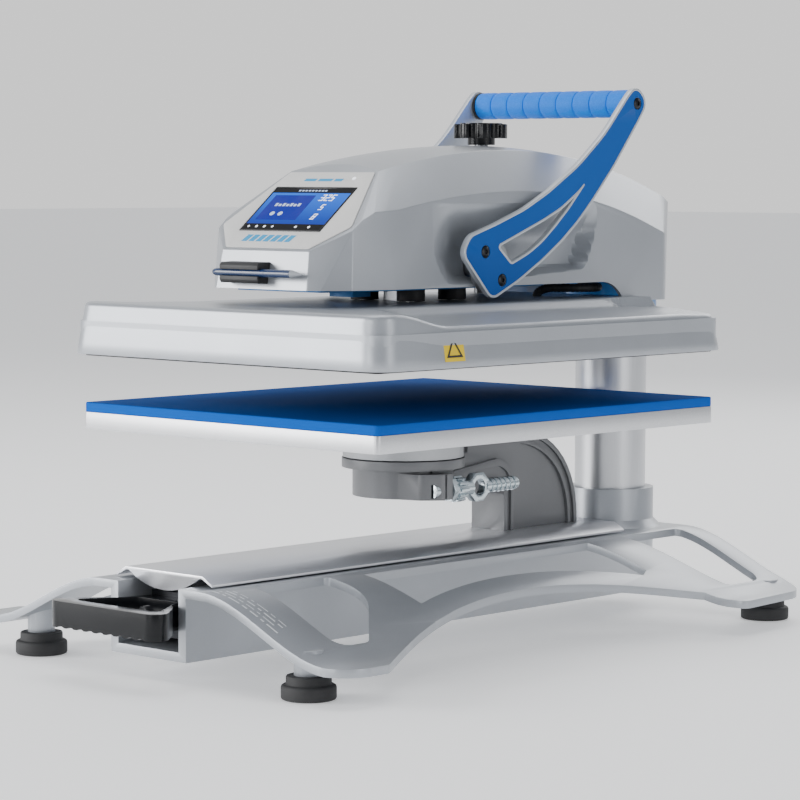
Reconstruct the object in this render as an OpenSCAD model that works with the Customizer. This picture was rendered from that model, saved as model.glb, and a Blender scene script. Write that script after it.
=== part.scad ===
// Swing-away heat press with a draw-out lower platen. Millimetres, +Z up, +Y to the rear.
// The origin is on the bench, under the middle of the press's footprint.

/* [Platens] */
// Width of the heated plate and of the lower platen
platen_w = 406.4; // [380:0.1:420]
// Depth of the heated plate and of the lower platen
platen_d = 508; // [480:1:520]
// Thickness of the lower platen's aluminium plate
plate_t = 16.8; // [12:0.1:20]
// Thickness of the silicone pad
pad_t = 9.8; // [6:0.1:12]
// Gap between the pad and the heater plate with the press open
daylight = 47.1; // [47:0.1:50]
// Thickness of the heater plate
heater_t = 19.5; // [16:0.5:22]

/* [Motion] */
// How far the heat platen comes down
press_travel = 46.5; // [40:0.1:46.6]
// How far the handle turns from open to closed
handle_swing = 120; // [100:1:125]

/* [Base] */
// Half the width of the drawer channel
channel_hw = 52; // [48:1:56]
// Thickness of the channel's walls
channel_wall = 10; // [8:1:10]
// Height of the channel's top edges
channel_top = 88.5; // [86:0.5:90]
// Height that the legs drop from the channel to the feet
leg_drop = 52.5; // [48:0.5:54]
// Thickness of the cast legs
leg_t = 8; // [6:1:9]

/* [Post] */
// Outer radius of the post
post_r = 39; // [36:1:40]
// Outer radius of the collar cast on the base
collar_r = 48; // [46:1:50]
// Height of the collar's top face
collar_top = 130.8; // [120:1:140]

/* [Head] */
// Half the width of the casing
casing_hw = 100; // [98:1:102]
// Wall thickness of the casing
casing_wall = 4; // [3:0.5:5]
// Outer radius of the foam grip
grip_r = 14.6; // [13:0.1:16]
// Number of grooves round the foam grip
grip_grooves = 8; // [6:1:10]
// Number of lobes on the pressure knob
knob_lobes = 7; // [6:1:8]

/* [Hidden] */
$fn = 96;
tiny = 0.01;
fit = 0.05;
gap = 0.35;

// Heights, from the bench up
foot_low_h = 14;
foot_h = 22;
floor_z = 20;
slide_top = 99.5;
platen_y = 8;
plate_z = 217.8;
pad_z = plate_z + plate_t;
pad_top = pad_z + pad_t;
heater_z = pad_top + daylight;
insulation_z = heater_z + heater_t;
insulation_t = 12;
crosshead_z = insulation_z + insulation_t;
cover_z = heater_z + 2.1;
cover_shelf = 331.2;
cover_top = 346;

// Post and its bearings
post_y = 345;
post_foot = 30;
post_top = 405;
hub_r = 49.5;
hub_z = 323;
hub_top = post_top + 10;

// Handle: pivot of the lever, with the lever drawn in its open position
pivot_y = 22;
pivot_z = 382;
shaft_r = 9;
lever_x = 106.5;
lever_t = 6;
lever_rim = 2.6;
grip_y = 246.5;
grip_z = 548.2;
bolt_low = [31.9, 368.4];
bolt_high = [6.6, 397.1];

// Press guides and cam
rod_x = 32;
rod_y = 15;
rod_dy = 31;
rod_r = 6;
plate_under = 359.5;
cam_base = 16;
cam_rate = press_travel / (handle_swing * PI / 180);
cam_line_y = pivot_y - cam_rate;
follower_top = pivot_z - cam_base - gap;

// Pressure screw
screw_y = 126.6;
screw_r = 7;

// Console panel: a point on its plane, and its slope
panel_top = [59.7, -93.4, 476.4];
panel_low = [59.4, -189.3, 399.6];
panel_slope = atan2(panel_top[2] - panel_low[2], panel_top[1] - panel_low[1]);
function panel_z(y) = panel_low[2] + (y - panel_low[1]) * tan(panel_slope);
panel_mid = [91.8, -160.3, panel_z(-160.3)];
screen_w = 107.4;
screen_h = 64;
screen_mid = [-2.7, -141, panel_z(-141)];

// Stylus, along X in front of the console
stylus_y = -203.5;
stylus_z = 378;
stylus_r = 4;

// Clamp screw, along Y beside the platen arm's hub
clamp_x = 62;
clamp_z = 156;
clamp_y = 6.2;

// ---- outlines ----------------------------------------------------------------------------

function unit(v) = v / norm(v);
function arc(c, r, a0, a1, n = 12) =
    [for (i = [0:n]) c + r * [cos(a0 + (a1 - a0) * i / n), sin(a0 + (a1 - a0) * i / n)]];

// One corner at p, between its neighbours a and b, rounded to radius r
function corner(a, p, b, r, n = 6) =
    let (u = unit(a - p), v = unit(b - p), half = acos(u * v) / 2)
    let (c = p + unit(u + v) * r / sin(half), s = p + u * r / tan(half), e = p + v * r / tan(half))
    let (a0 = atan2(s[1] - c[1], s[0] - c[0]), a1 = atan2(e[1] - c[1], e[0] - c[0]))
    let (turn = a1 - a0, sweep = turn > 180 ? turn - 360 : turn < -180 ? turn + 360 : turn)
    [for (i = [0:n]) c + r * [cos(a0 + sweep * i / n), sin(a0 + sweep * i / n)]];

// A closed outline of [x, y, radius] corners
function rounded(pts) =
    let (n = len(pts))
    [for (i = [0:n - 1])
        let (a = pts[(i + n - 1) % n], p = pts[i], b = pts[(i + 1) % n])
        each (p[2] <= 0 ? [[p[0], p[1]]] :
            corner([a[0], a[1]], [p[0], p[1]], [b[0], b[1]], p[2]))];

function mirror_x(pts) = concat(pts,
    [for (i = [len(pts) - 1:-1:0]) if (abs(pts[i][0]) > tiny) [-pts[i][0], pts[i][1]]]);

module rounded_box(w, d, h, r) {
    linear_extrude(h) polygon(rounded([
        [-w / 2, -d / 2, r], [w / 2, -d / 2, r], [w / 2, d / 2, r], [-w / 2, d / 2, r]]));
}

// Extrudes a (y, z) outline along X from x0 to x1
module along_x(x0, x1) {
    translate([x0, 0, 0]) rotate([90, 0, 90]) linear_extrude(x1 - x0) children();
}

// Extrudes an (x, z) outline along Y from y0 to y1
module along_y(y0, y1) {
    translate([0, y1, 0]) rotate([90, 0, 0]) linear_extrude(y1 - y0) children();
}

module both_sides() {
    children();
    mirror([1, 0, 0]) children();
}

module rod_x_axis(r, x0, x1) {
    translate([x0, 0, 0]) rotate([0, 90, 0]) cylinder(r = r, h = x1 - x0);
}

// A button-head screw standing on the plane z = 0, with its hexagon socket
module button_head(r, h, socket) {
    difference() {
        intersection() {
            cylinder(r = r, h = h);
            translate([0, 0, h - 1.6 * r]) sphere(r = 1.6 * r);
        }
        translate([0, 0, h - 0.5 * h]) cylinder(r = socket, h = h, $fn = 6);
    }
}

// A swept round tube through a list of points
function ring_at(path, i, r, n) =
    let (m = len(path), a = path[max(i - 1, 0)], b = path[min(i + 1, m - 1)], t = unit(b - a))
    let (side = unit(cross(t, abs(t[2]) < 0.9 ? [0, 0, 1] : [0, 1, 0])), up = cross(side, t))
    [for (k = [0:n - 1]) path[i] + r * (cos(360 * k / n) * side + sin(360 * k / n) * up)];

module tube_along(path, r, n = 8) {
    m = len(path);
    points = [for (i = [0:m - 1]) each ring_at(path, i, r, n)];
    sides = [for (i = [0:m - 2], k = [0:n - 1])
        [i * n + k, i * n + (k + 1) % n, (i + 1) * n + (k + 1) % n, (i + 1) * n + k]];
    polyhedron(points, concat([[for (k = [n - 1:-1:0]) k]], sides, [[for (k = [0:n - 1]) (m - 1) * n + k]]));
}

// ---- base --------------------------------------------------------------------------------

base_front = -344;
base_rear = 393;
arch_r = 513;
arch_c = [665, 25];
front_foot = [185.8, -317.2];
rear_foot = [193.5, 370.5];
feet = [front_foot, rear_foot, [-front_foot[0], front_foot[1]], [-rear_foot[0], rear_foot[1]]];

function smooth(t) = let (c = min(max(t, 0), 1)) c * c * (3 - 2 * c);
function leg_height(x) = channel_top - leg_drop * smooth((abs(x) - 70) / 165);

// Right half of the base seen from above, front to rear
base_half = concat(
    arc([224, base_front + 34], 34, -90, 0),
    arc([250, -290], 8, 0, 35, 3),
    arc(arch_c, arch_r, 212, 154, 30),
    arc([244, 263], 9, -70, 0, 4),
    arc([190, base_rear - 56], 56, 12, 90, 12));

module base_outline() {
    polygon(mirror_x(base_half));
}

module base_openings() {
    both_sides() {
        polygon(rounded([[80, -284, 6], [193, -284, 16], [193, -246, 14], [128, -178, 40], [80, -186, 6]]));
        polygon(concat(
            [[87, 200], [87, -142]],
            arc(arch_c, arch_r + 24, 196.5, 160.5, 16),
            [[152, 218]]));
        polygon(rounded([[80, 262, 5], [197, 300, 10], [197, 363, 18], [80, 363, 6]]));
    }
}

module leg_band() {
    xs = [for (i = [0:52]) -260 + 10 * i];
    polygon(concat(
        [for (x = xs) [x, leg_height(x)]],
        [for (i = [52:-1:0]) [xs[i], leg_height(xs[i]) - leg_t]]));
}

module base_casting() {
    inner = channel_hw - channel_wall;
    color([0.72, 0.74, 0.76]) difference() {
        union() {
            difference() {
                intersection() {
                    linear_extrude(120) difference() {
                        base_outline();
                        base_openings();
                    }
                    along_y(base_front - 1, base_rear + 1) leg_band();
                }
                translate([-channel_hw, base_front - 1, 0]) cube([2 * channel_hw, post_y - base_front, 120]);
            }
            translate([-channel_hw, base_front, floor_z])
                cube([2 * channel_hw, post_y - base_front, channel_top - floor_z]);
            translate([0, post_y, floor_z]) cylinder(r = collar_r, h = collar_top - floor_z);
            translate([0, post_y, channel_top - 4]) cylinder(r1 = collar_r + 12, r2 = collar_r, h = 12);
            for (f = feet) translate([f[0], f[1], foot_h])
                cylinder(r = 13.6, h = leg_height(f[0]) - foot_h - 2);
        }
        translate([-inner, base_front - 1, floor_z + 9])
            cube([2 * inner, post_y - collar_r - 1 - base_front + 1, 120]);
        translate([0, post_y, post_foot]) cylinder(r = post_r, h = 200);
        translate([0, post_y, 0]) cylinder(r = 11, h = 200);
        translate([0, post_y, collar_top - 24]) for (a = [60, 120])
            rotate([0, 0, a]) rod_x_axis(4, 30, 60);
        for (f = feet) translate([f[0], f[1], foot_h - 1]) cylinder(r = 5, h = 14);
    }
}

module rubber_feet() {
    color([0.1, 0.1, 0.1]) for (f = feet) translate([f[0], f[1], 0]) difference() {
        union() {
            cylinder(r = 25.5, h = foot_low_h);
            translate([0, 0, foot_low_h]) cylinder(r = 21, h = foot_h - foot_low_h);
        }
        translate([0, 0, 6]) cylinder(r = 5, h = 40);
    }
}

module foot_studs() {
    color([0.7, 0.7, 0.72]) for (f = feet) translate([f[0], f[1], 6])
        cylinder(r = 5, h = foot_h - 6 + 12);
}

module post_tube() {
    color([0.75, 0.76, 0.78]) translate([0, post_y, post_foot]) difference() {
        cylinder(r = post_r, h = post_top - post_foot);
        translate([0, 0, -1]) cylinder(r = post_r - 5, h = post_top);
    }
}

module post_cap() {
    color([0.5, 0.5, 0.52]) translate([0, post_y, post_top - 12]) difference() {
        cylinder(r = post_r - 5, h = 12);
        translate([0, 0, -1]) cylinder(r = 9, h = 20);
    }
}

module thrust_washer() {
    color([0.72, 0.55, 0.3]) translate([0, post_y, post_top]) difference() {
        cylinder(r = post_r - 0.5, h = 2.6);
        translate([0, 0, -1]) cylinder(r = 12, h = 6);
    }
}

module collar_screws() {
    color([0.12, 0.12, 0.13]) translate([0, post_y, collar_top - 24]) for (a = [60, 120])
        rotate([0, 0, a]) difference() {
            rod_x_axis(4, post_r, 47.4);
            translate([43, 0, 0]) rotate([0, 90, 0]) cylinder(r = 2.2, h = 10, $fn = 6);
        }
}

// ---- drawer ------------------------------------------------------------------------------

rail_z = 46;
rail_h = 20;
rail_front = -330;
rail_rear = 280;
slide_front = -324;
slide_rear = 288;

module fixed_rails() {
    color([0.6, 0.61, 0.62]) both_sides() along_y(rail_front, rail_rear) polygon([
        [42, rail_z], [36, rail_z], [36, rail_z + 3], [39.5, rail_z + 3],
        [39.5, rail_z + rail_h - 3], [36, rail_z + rail_h - 3], [36, rail_z + rail_h],
        [42, rail_z + rail_h]]);
}

module drawer_runners() {
    color([0.65, 0.66, 0.67]) both_sides() along_y(rail_front + 12, rail_rear - 4)
        polygon([[39, rail_z + 3.5], [39, rail_z + rail_h - 3.5], [32, rail_z + rail_h - 3.5],
            [32, rail_z + 3.5]]);
}

module drawer_beam() {
    color([0.07, 0.07, 0.08]) difference() {
        union() {
            translate([-32, slide_front + 14, 34]) cube([64, slide_rear - slide_front - 16, 44]);
            translate([-28, slide_front + 40, 78]) cube([56, slide_rear - slide_front - 44, 18.5]);
        }
        translate([-26, slide_front + 30, 28]) cube([52, slide_rear - slide_front, 44]);
        for (s = [-1, 1]) translate([s * 16, -340, handle_z + 12]) rotate([-90, 0, 0])
            cylinder(r = 3, h = 38);
        for (y = [150, 180, 210, 240]) translate([0, y, 60]) cylinder(r = 4, h = 60);
    }
}

// Thin plate with a wing along each side and a bow-shaped lip across its front end
module slide_plate() {
    bow_r = 87;
    color([0.78, 0.79, 0.81]) difference() {
        union() {
            along_y(slide_front, slide_rear) polygon([
                [-53, slide_top - 3], [-66, slide_top - 9.5], [-66, slide_top - 7.2], [-53, slide_top],
                [53, slide_top], [66, slide_top - 7.2], [66, slide_top - 9.5], [53, slide_top - 3]]);
            along_y(slide_front, slide_front + 5) intersection() {
                translate([0, slide_top - 18 + bow_r]) circle(r = bow_r, $fn = 180);
                translate([-53, slide_top - 30]) square([106, 28]);
            }
        }
        for (y = [150, 180, 210, 240]) translate([0, y, 60]) cylinder(r = 4, h = 60);
    }
}

handle_front = -404;
handle_z = 48.5;
handle_h = 25;

module drawer_handle() {
    outer = rounded([[-88, handle_front, 12], [88, handle_front, 12], [50, -358, 20], [36, -347, 10],
        [28, -310, 0], [-28, -310, 0], [-36, -347, 10], [-50, -358, 20]]);
    inner = rounded([[-62, handle_front + 17, 8], [62, handle_front + 17, 8], [26, -332, 3], [-26, -332, 3]]);
    color([0.04, 0.04, 0.05]) difference() {
        translate([0, 0, handle_z]) linear_extrude(handle_h) difference() {
            polygon(outer);
            polygon(inner);
        }
        for (k = [0:8]) translate([-56 + 14 * k, handle_front + 9, handle_z - 7])
            rotate([90, 0, 0]) translate([0, 0, -12]) cylinder(r = 8.5, h = 24);
        for (s = [-1, 1]) translate([s * 16, -340, handle_z + 12])
            rotate([-90, 0, 0]) cylinder(r = 3, h = 60);
    }
}

module drawer_handle_screws() {
    color([0.5, 0.5, 0.52]) for (s = [-1, 1]) translate([s * 16, -332, handle_z + 12]) rotate([-90, 0, 0]) {
        cylinder(r = 3, h = 30);
        translate([0, 0, -4]) cylinder(r = 5.5, h = 4);
    }
}

// C-shaped arm that carries the lower platen
arm_hw = 23;
arm_front = 140;
arm_rear = 260;
hub_low = 147;
hub_flange = 185.5;
hub_body_r = 52;

function arm_curve(a, b, p, n = 14) = [for (i = [0:n]) let (t = 90 * i / n)
    [arm_front + a * pow(cos(t), 2 / p), slide_top + b * pow(sin(t), 2 / p)]];

module arm_profile(inset) {
    polygon(concat(
        arm_curve(arm_rear - arm_front - inset, 108 - inset, 2.3),
        [[platen_y, slide_top + 108 - inset], [platen_y, hub_low + inset]],
        arc([arm_front - 12, hub_low - 12 + inset], 12 + inset, 90, 0, 6),
        [[arm_front + inset, slide_top]]));
}

module platen_arm() {
    color([0.55, 0.56, 0.57]) difference() {
        union() {
            difference() {
                along_x(-arm_hw, arm_hw) arm_profile(0);
                both_sides() {
                    along_x(arm_hw - 3, arm_hw + 1) difference() {
                        arm_profile(5);
                        arm_profile(11);
                    }
                    along_x(arm_hw - 4, arm_hw + 1) arm_profile(15);
                }
                translate([0, platen_y, 186]) cylinder(r = 80, h = 60);
            }
            translate([0, platen_y, hub_low]) cylinder(r = hub_body_r, h = hub_flange - hub_low);
            translate([0, platen_y, hub_flange - 9.5]) cylinder(r = 63, h = 9.5);
            translate([0, 0, hub_low]) linear_extrude(26) polygon(rounded([
                [30, clamp_y - 40, 0], [56, clamp_y - 32, 14], [clamp_x + 9, clamp_y - 14, 12],
                [clamp_x + 9, clamp_y, 1.5], [30, clamp_y, 0]]));
        }
        translate([0, platen_y, 100]) cylinder(r = 25, h = 120);
        translate([20, clamp_y - 12, 100]) cube([90, 2.5, 75]);
        translate([clamp_x, clamp_y - 24, clamp_z]) rotate([-90, 0, 0]) cylinder(r = 7, h = 60);
        translate([clamp_x - 14.4, clamp_y, hub_low - 5]) cube([40, 34, 33]);
        for (y = [150, 180, 210, 240]) translate([0, y, 60]) cylinder(r = 4, h = 70);
    }
}

module arm_bolts() {
    color([0.3, 0.3, 0.32]) for (y = [150, 180, 210, 240]) translate([0, y, 72]) {
        cylinder(r = 4, h = 50);
        translate([0, 0, -6]) cylinder(r = 7.5, h = 6, $fn = 6);
    }
}

module clamp_nut() {
    color([0.75, 0.76, 0.76]) translate([clamp_x, clamp_y, clamp_z]) rotate([-90, 0, 0]) difference() {
        cylinder(r = 13, h = 7, $fn = 6);
        translate([0, 0, -1]) cylinder(r = 7, h = 20);
    }
}

// Zinc clamp screw with a serrated ring, an eight-sided eye for a bar, and a ringed stub
module clamp_screw() {
    eye_at = 45;
    color([0.78, 0.8, 0.8]) translate([clamp_x, clamp_y, clamp_z]) rotate([-90, 0, 0]) difference() {
        union() {
            translate([0, 0, -22]) cylinder(r = 6.95, h = 34);
            translate([0, 0, 7.5]) cylinder(r = 10, h = 13.7);
            for (k = [0:11]) rotate([0, 0, 30 * k]) translate([9, -1.6, 8.5]) cube([4.2, 3.2, 11.7]);
            translate([0, 0, 20]) cylinder(r = 8.2, h = 14);
            translate([-4.5, 0, eye_at]) rotate([0, 90, 0]) rotate([0, 0, 22.5])
                cylinder(r = 15.6, h = 9, $fn = 8);
            translate([0, 0, 56]) cylinder(r = 6.2, h = 49);
            for (k = [0:5]) translate([0, 0, 63 + 7 * k]) cylinder(r = 7.3, h = 4.4);
        }
        translate([-10, 0, eye_at]) rotate([0, 90, 0]) cylinder(r = 8.6, h = 20);
    }
}

module platen_spigot() {
    color([0.62, 0.63, 0.64]) translate([0, platen_y, 0]) difference() {
        union() {
            translate([0, 0, hub_low + 4]) cylinder(r = 24.95, h = hub_flange - hub_low);
            translate([0, 0, hub_flange + 1]) cylinder(r = 62, h = plate_z - hub_flange - 1);
        }
        for (a = [45:90:315]) rotate([0, 0, a]) translate([48, 0, 160]) cylinder(r = 4, h = 80);
    }
}

module platen_screws() {
    color([0.3, 0.3, 0.32]) translate([0, platen_y, 0]) for (a = [45:90:315]) rotate([0, 0, a])
        translate([48, 0, hub_flange + 4]) cylinder(r = 4, h = plate_z - hub_flange + 6);
}

module platen_plate() {
    color([0.8, 0.81, 0.82]) translate([0, platen_y, 0]) difference() {
        translate([0, 0, plate_z]) rounded_box(platen_w, platen_d, plate_t, 5);
        for (a = [45:90:315]) rotate([0, 0, a]) translate([48, 0, 200]) cylinder(r = 4, h = plate_z - 190);
    }
}

module silicone_pad() {
    color([0.0, 0.3, 0.65]) translate([0, platen_y, pad_z])
        rounded_box(platen_w - 0.6, platen_d - 0.6, pad_t, 5);
}

// ---- head: casing and console ------------------------------------------------------------

function roof_z(y) = 498.5 - (y < 103 ? 22 * pow((103 - y) / 196, 2) : 46 * pow((y - 103) / 250, 2));
function shoulder_z(y) = 457 - (y < 80 ? 27.7 * pow((80 - y) / 232, 2) : 8.6e-4 * pow(y - 80, 2));
nose_r = 59;
crown_h = 4.5;
nose_y = -195.8;

// The casing seen from above, drawn in by w all round
function casing_plan(w) =
    let (half = concat(
        [[62.4 - w / 2, nose_y + w], [92 - w, -164.5 + w / 2], [casing_hw - w, -110]],
        arc([82, 306], 18 - w, 0, 37.7, 5),
        arc([0, post_y], nose_r - w, 37.7, 90, 10)))
    mirror_x(half);

// The casing seen from the side, drawn in by w: front face, console slope and roof
function casing_side(w) =
    concat(
        [[430, 330], [nose_y + w, 330], [nose_y + w, 362],
            [panel_low[1] + w, panel_z(panel_low[1] + w) - w / cos(panel_slope)]],
        [for (i = [0:24]) let (y = panel_top[1] + crown_h + w / 2 + (500 / 24) * i)
            [y, min(roof_z(y) + crown_h - w, panel_z(y) - w / cos(panel_slope))]]);

// Sloping shoulder, drawn in by w: everything under a curved sheet that falls at 45 degrees
module under_shoulder(w) {
    rotate([0, 45, 0]) along_x(-700, 700) polygon(concat(
        [[430, -300], [-240, -300]],
        [for (i = [0:24]) let (y = -240 + (670 / 24) * i) [y, (shoulder_z(y) + casing_hw) / sqrt(2) - w]]));
}

// Outer form of the casing, or of its hollow when w is its wall
module casing_form(w) {
    intersection() {
        translate([0, 0, 335]) linear_extrude(200) polygon(casing_plan(w));
        along_x(-120, 120) polygon(casing_side(w));
        under_shoulder(w);
        mirror([1, 0, 0]) under_shoulder(w);
    }
}

// Everything under the casing's lower edge, which drops behind an arch at the rear
module casing_belly() {
    along_x(-120, 120) polygon(concat(
        [[-300, 300], [-300, 362], [206, 362]],
        arc([206, 322], 40, 90, 30, 8),
        [[264, 341.5], [420, 340], [420, 300]]));
}

module casing_shell() {
    color([0.7, 0.72, 0.74]) difference() {
        casing_form(0);
        casing_form(casing_wall);
        casing_belly();
        translate([0, pivot_y, pivot_z]) rod_x_axis(14.5, -120, 120);
        translate([0, screw_y, 400]) cylinder(r = 9, h = 200);
        on_panel() translate([0, 0, -20]) linear_extrude(40)
            square([screen_w - 8, screen_h - 8], center = true);
        on_panel() translate([led_u, led_v, -20]) cylinder(r = 2.1, h = 60);
        translate([-casing_hw - 10, inlet_y - 20, 378]) cube([30, 40, 34]);
        for (p = casing_screw_at, s = [-1, 1]) translate([s * p[0], p[1], p[2]]) rotate([0, s * 90, 0]) {
            translate([0, 0, -12]) cylinder(r = 1.5, h = 20);
            translate([0, 0, -1.4]) cylinder(r = 2.6, h = 4);
        }
    }
}

led_u = 40.2;
led_v = 48;
inlet_y = 250;
casing_screw_at = [[96.2, -134.5, 421]];

// Places children on the console panel, with X to the right, Y up the slope and Z outwards
module on_panel() {
    translate(screen_mid) rotate([panel_slope, 0, 0]) children();
}

module console_overlay() {
    half_top = norm([0, panel_top[1] - screen_mid[1], panel_top[2] - screen_mid[2]]) - 3;
    half_mid = -norm([0, panel_mid[1] - screen_mid[1], panel_mid[2] - screen_mid[2]]);
    half_low = -norm([0, panel_low[1] - screen_mid[1], panel_low[2] - screen_mid[2]]) + 3;
    shift = -screen_mid[0];
    color([0.84, 0.83, 0.81]) on_panel() difference() {
        linear_extrude(1.2) polygon(rounded([
            [shift - 58, half_top, 3], [shift - 88.5, half_mid, 6], [shift - 57, half_low, 5],
            [shift + 57, half_low, 5], [shift + 88.5, half_mid, 6], [shift + 58, half_top, 3]]));
        translate([0, 0, -1]) linear_extrude(5) square([screen_w + 4, screen_h + 4], center = true);
        translate([led_u, led_v, -1]) cylinder(r = 2.1, h = 5);
    }
}

module screen_frame() {
    color([0.02, 0.02, 0.03]) on_panel() difference() {
        translate([0, 0, 0]) linear_extrude(1.8) square([screen_w + 4, screen_h + 4], center = true);
        translate([0, 0, -1]) linear_extrude(5) square([screen_w, screen_h], center = true);
    }
}

module touch_screen() {
    color([0.05, 0.25, 0.75]) on_panel() union() {
        linear_extrude(1.4) square([screen_w, screen_h], center = true);
        translate([0, 0, -9]) linear_extrude(9.2) square([screen_w - 10, screen_h - 10], center = true);
    }
}

module status_light() {
    color([0.9, 0.9, 0.95]) on_panel() translate([led_u, led_v, -6]) cylinder(r = 2.1, h = 7.6);
}

module control_board() {
    color([0.05, 0.35, 0.15]) on_panel() translate([0, 0, -13]) union() {
        linear_extrude(1.6) square([96, 76], center = true);
        translate([-30, 10, -8]) linear_extrude(8.5) square([22, 22], center = true);
        translate([20, -14, -12]) linear_extrude(12.5) square([30, 18], center = true);
        translate([34, 18, -14]) cylinder(r = 6, h = 14.5);
    }
}

module stylus_clip() {
    color([0.05, 0.05, 0.06]) difference() {
        union() {
            along_x(-44, 9) polygon([[-194.4, 367.5], [-207, 368], [-209, 371], [-209, 385], [-207, 388],
                [-190.5, 388.5]]);
        }
        casing_form(0);
        translate([0, stylus_y, stylus_z]) rod_x_axis(stylus_r + fit, -60, 60);
        translate([-60, -230, stylus_z - 3.1]) cube([120, 230 + stylus_y, 6.2]);
    }
}

module stylus_barrel() {
    color([0.05, 0.12, 0.3]) translate([0, stylus_y, stylus_z]) difference() {
        union() {
            rod_x_axis(stylus_r, -54, 50);
            translate([-58, 0, 0]) rotate([0, 90, 0]) cylinder(r1 = 2.6, r2 = stylus_r, h = 4);
        }
        rod_x_axis(2, 42, 60);
    }
}

module stylus_tip() {
    color([0.6, 0.62, 0.65]) translate([0, stylus_y, stylus_z]) rotate([0, 90, 0]) union() {
        translate([0, 0, 42]) cylinder(r = 2, h = 8);
        translate([0, 0, 50]) cylinder(r1 = stylus_r, r2 = 1.3, h = 11);
        translate([0, 0, 61]) cylinder(r1 = 1.3, r2 = 0.8, h = 3);
    }
}

module casing_screws() {
    color([0.1, 0.1, 0.1]) for (p = casing_screw_at, s = [-1, 1]) translate([s * p[0], p[1], p[2]])
        rotate([0, s * 90, 0]) union() {
            translate([0, 0, -1.4]) button_head(2.3, 1.3, 0.9);
            translate([0, 0, -10]) cylinder(r = 1.5, h = 9);
        }
}

module power_plate() {
    color([0.1, 0.1, 0.11]) translate([-casing_hw, inlet_y, 0]) difference() {
        union() {
            translate([-2, -32, 372]) cube([2, 64, 46]);
            translate([-0.5, 1, 383]) cube([18, 18, 24]);
        }
        translate([-5, -18.5, 379.5]) cube([10, 18, 31]);
        translate([-5, 3.5, 385.5]) difference() {
            cube([20, 13, 19]);
            translate([8, 20, 9.5]) rotate([90, 0, 0]) cylinder(r = 1.5, h = 40);
        }
    }
}

module power_inlet() {
    color([0.05, 0.05, 0.05]) translate([-casing_hw, inlet_y, 0]) difference() {
        union() {
            translate([-2, -18.5, 379.5]) cube([24, 18, 31]);
        }
        translate([-3, -16, 382]) cube([19, 13, 26]);
    }
    color([0.8, 0.75, 0.5]) translate([-casing_hw, inlet_y - 9.5, 0]) for (z = [388, 395, 402])
        translate([2, -1, z - 2]) cube([14.5, 2, 4]);
}

module rocker_key() {
    color([0.08, 0.08, 0.09]) translate([-casing_hw + 3, inlet_y + 10, 395]) rotate([90, 0, 0]) difference() {
        cylinder(r = 9, h = 12.3, center = true);
        cylinder(r = 1.5 + fit, h = 20, center = true);
        translate([5, -20, -20]) cube(40);
        translate([-28.5, 4, -20]) rotate([0, 0, 30]) cube([20, 10, 40]);
    }
}

// ---- head: frame and press mechanism ------------------------------------------------------

module swing_frame() {
    web_y1 = post_y - 30;
    color([0.0, 0.28, 0.6]) difference() {
        union() {
            translate([0, post_y, hub_z]) cylinder(r = hub_r, h = hub_top - hub_z);
            linear_band(plate_under, 10) polygon(rounded([
                [-60, -172, 6], [60, -172, 6], [60, -120, 6], [72, -100, 10], [72, 150, 10], [-72, 150, 10],
                [-72, -100, 10], [-60, -120, 6]]));
            translate([-18, -82, 351.5]) cube([32, 26, 10]);
            linear_band(376, 10) polygon([[-72, 130], [72, 130], [48, 345], [-48, 345]]);
            both_sides() along_x(60, 70) polygon(rounded([
                [-60, 362, 0], [150, 362, 0], [170, 376, 0], [330, 376, 0], [330, 412, 6], [60, 412, 30],
                [-60, 380, 8]]));
            translate([-70, 140, 362]) cube([140, 10, 40]);
            translate([0, screw_y, 362]) cylinder(r = 16, h = 60);
            translate([-62, screw_y - 6, 362]) cube([124, 12, 40]);
            translate([-70, 296, 376]) cube([140, 24, 34]);
            for (p = casing_screw_at, s = [-1, 1]) translate([s * 70.5 - 20.5, p[1] - 8, 362])
                cube([41, 16, p[2] - 357]);
        }
        translate([0, post_y, hub_z - 1]) cylinder(r = hub_r - 5.5, h = hub_top - hub_z - 6);
        translate([-14, -48, 340]) cube([28, 106, 40]);
        for (x = [-rod_x, rod_x], y = [-rod_dy, rod_dy]) translate([x, rod_y + y, 340])
            cylinder(r = 13, h = 30);
        translate([0, pivot_y, pivot_z]) rod_x_axis(13, -100, 100);
        translate([0, screw_y, 340]) cylinder(r = screw_r + fit, h = 120);
        translate([gland_at[0], gland_at[1], 360]) cylinder(r = 8, h = 40);
        for (p = casing_screw_at, s = [-1, 1]) translate([s * p[0], p[1], p[2]])
            rotate([0, s * 90, 0]) translate([0, 0, -10]) cylinder(r = 1.5, h = 12);
    }
}

module linear_band(z, h) {
    translate([0, 0, z]) linear_extrude(h) children();
}

module hub_bushes() {
    color([0.72, 0.55, 0.3]) for (z = [hub_z + 1, post_top - 34]) translate([0, post_y, z]) difference() {
        cylinder(r = hub_r - 5.5, h = 32);
        translate([0, 0, -1]) cylinder(r = post_r + fit, h = 60);
    }
}

module guide_bushes() {
    color([0.04, 0.04, 0.05]) for (x = [-rod_x, rod_x], y = [-rod_dy, rod_dy])
        translate([x, rod_y + y, 0]) difference() {
            union() {
                translate([0, 0, plate_under - 1]) cylinder(r = 13, h = 10);
                translate([0, 0, cover_top + 0.6]) cylinder(r = 14.4, h = plate_under - cover_top - 0.6);
            }
            translate([0, 0, 340]) cylinder(r = rod_r + fit, h = 60);
        }
}

module shaft_bearings() {
    color([0.72, 0.55, 0.3]) translate([0, pivot_y, pivot_z]) both_sides() difference() {
        rod_x_axis(13, 59, 71);
        rod_x_axis(shaft_r + fit, 50, 80);
    }
}

module cross_shaft() {
    color([0.6, 0.61, 0.62]) translate([0, pivot_y, pivot_z]) rod_x_axis(shaft_r, -101, 101);
}

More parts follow.
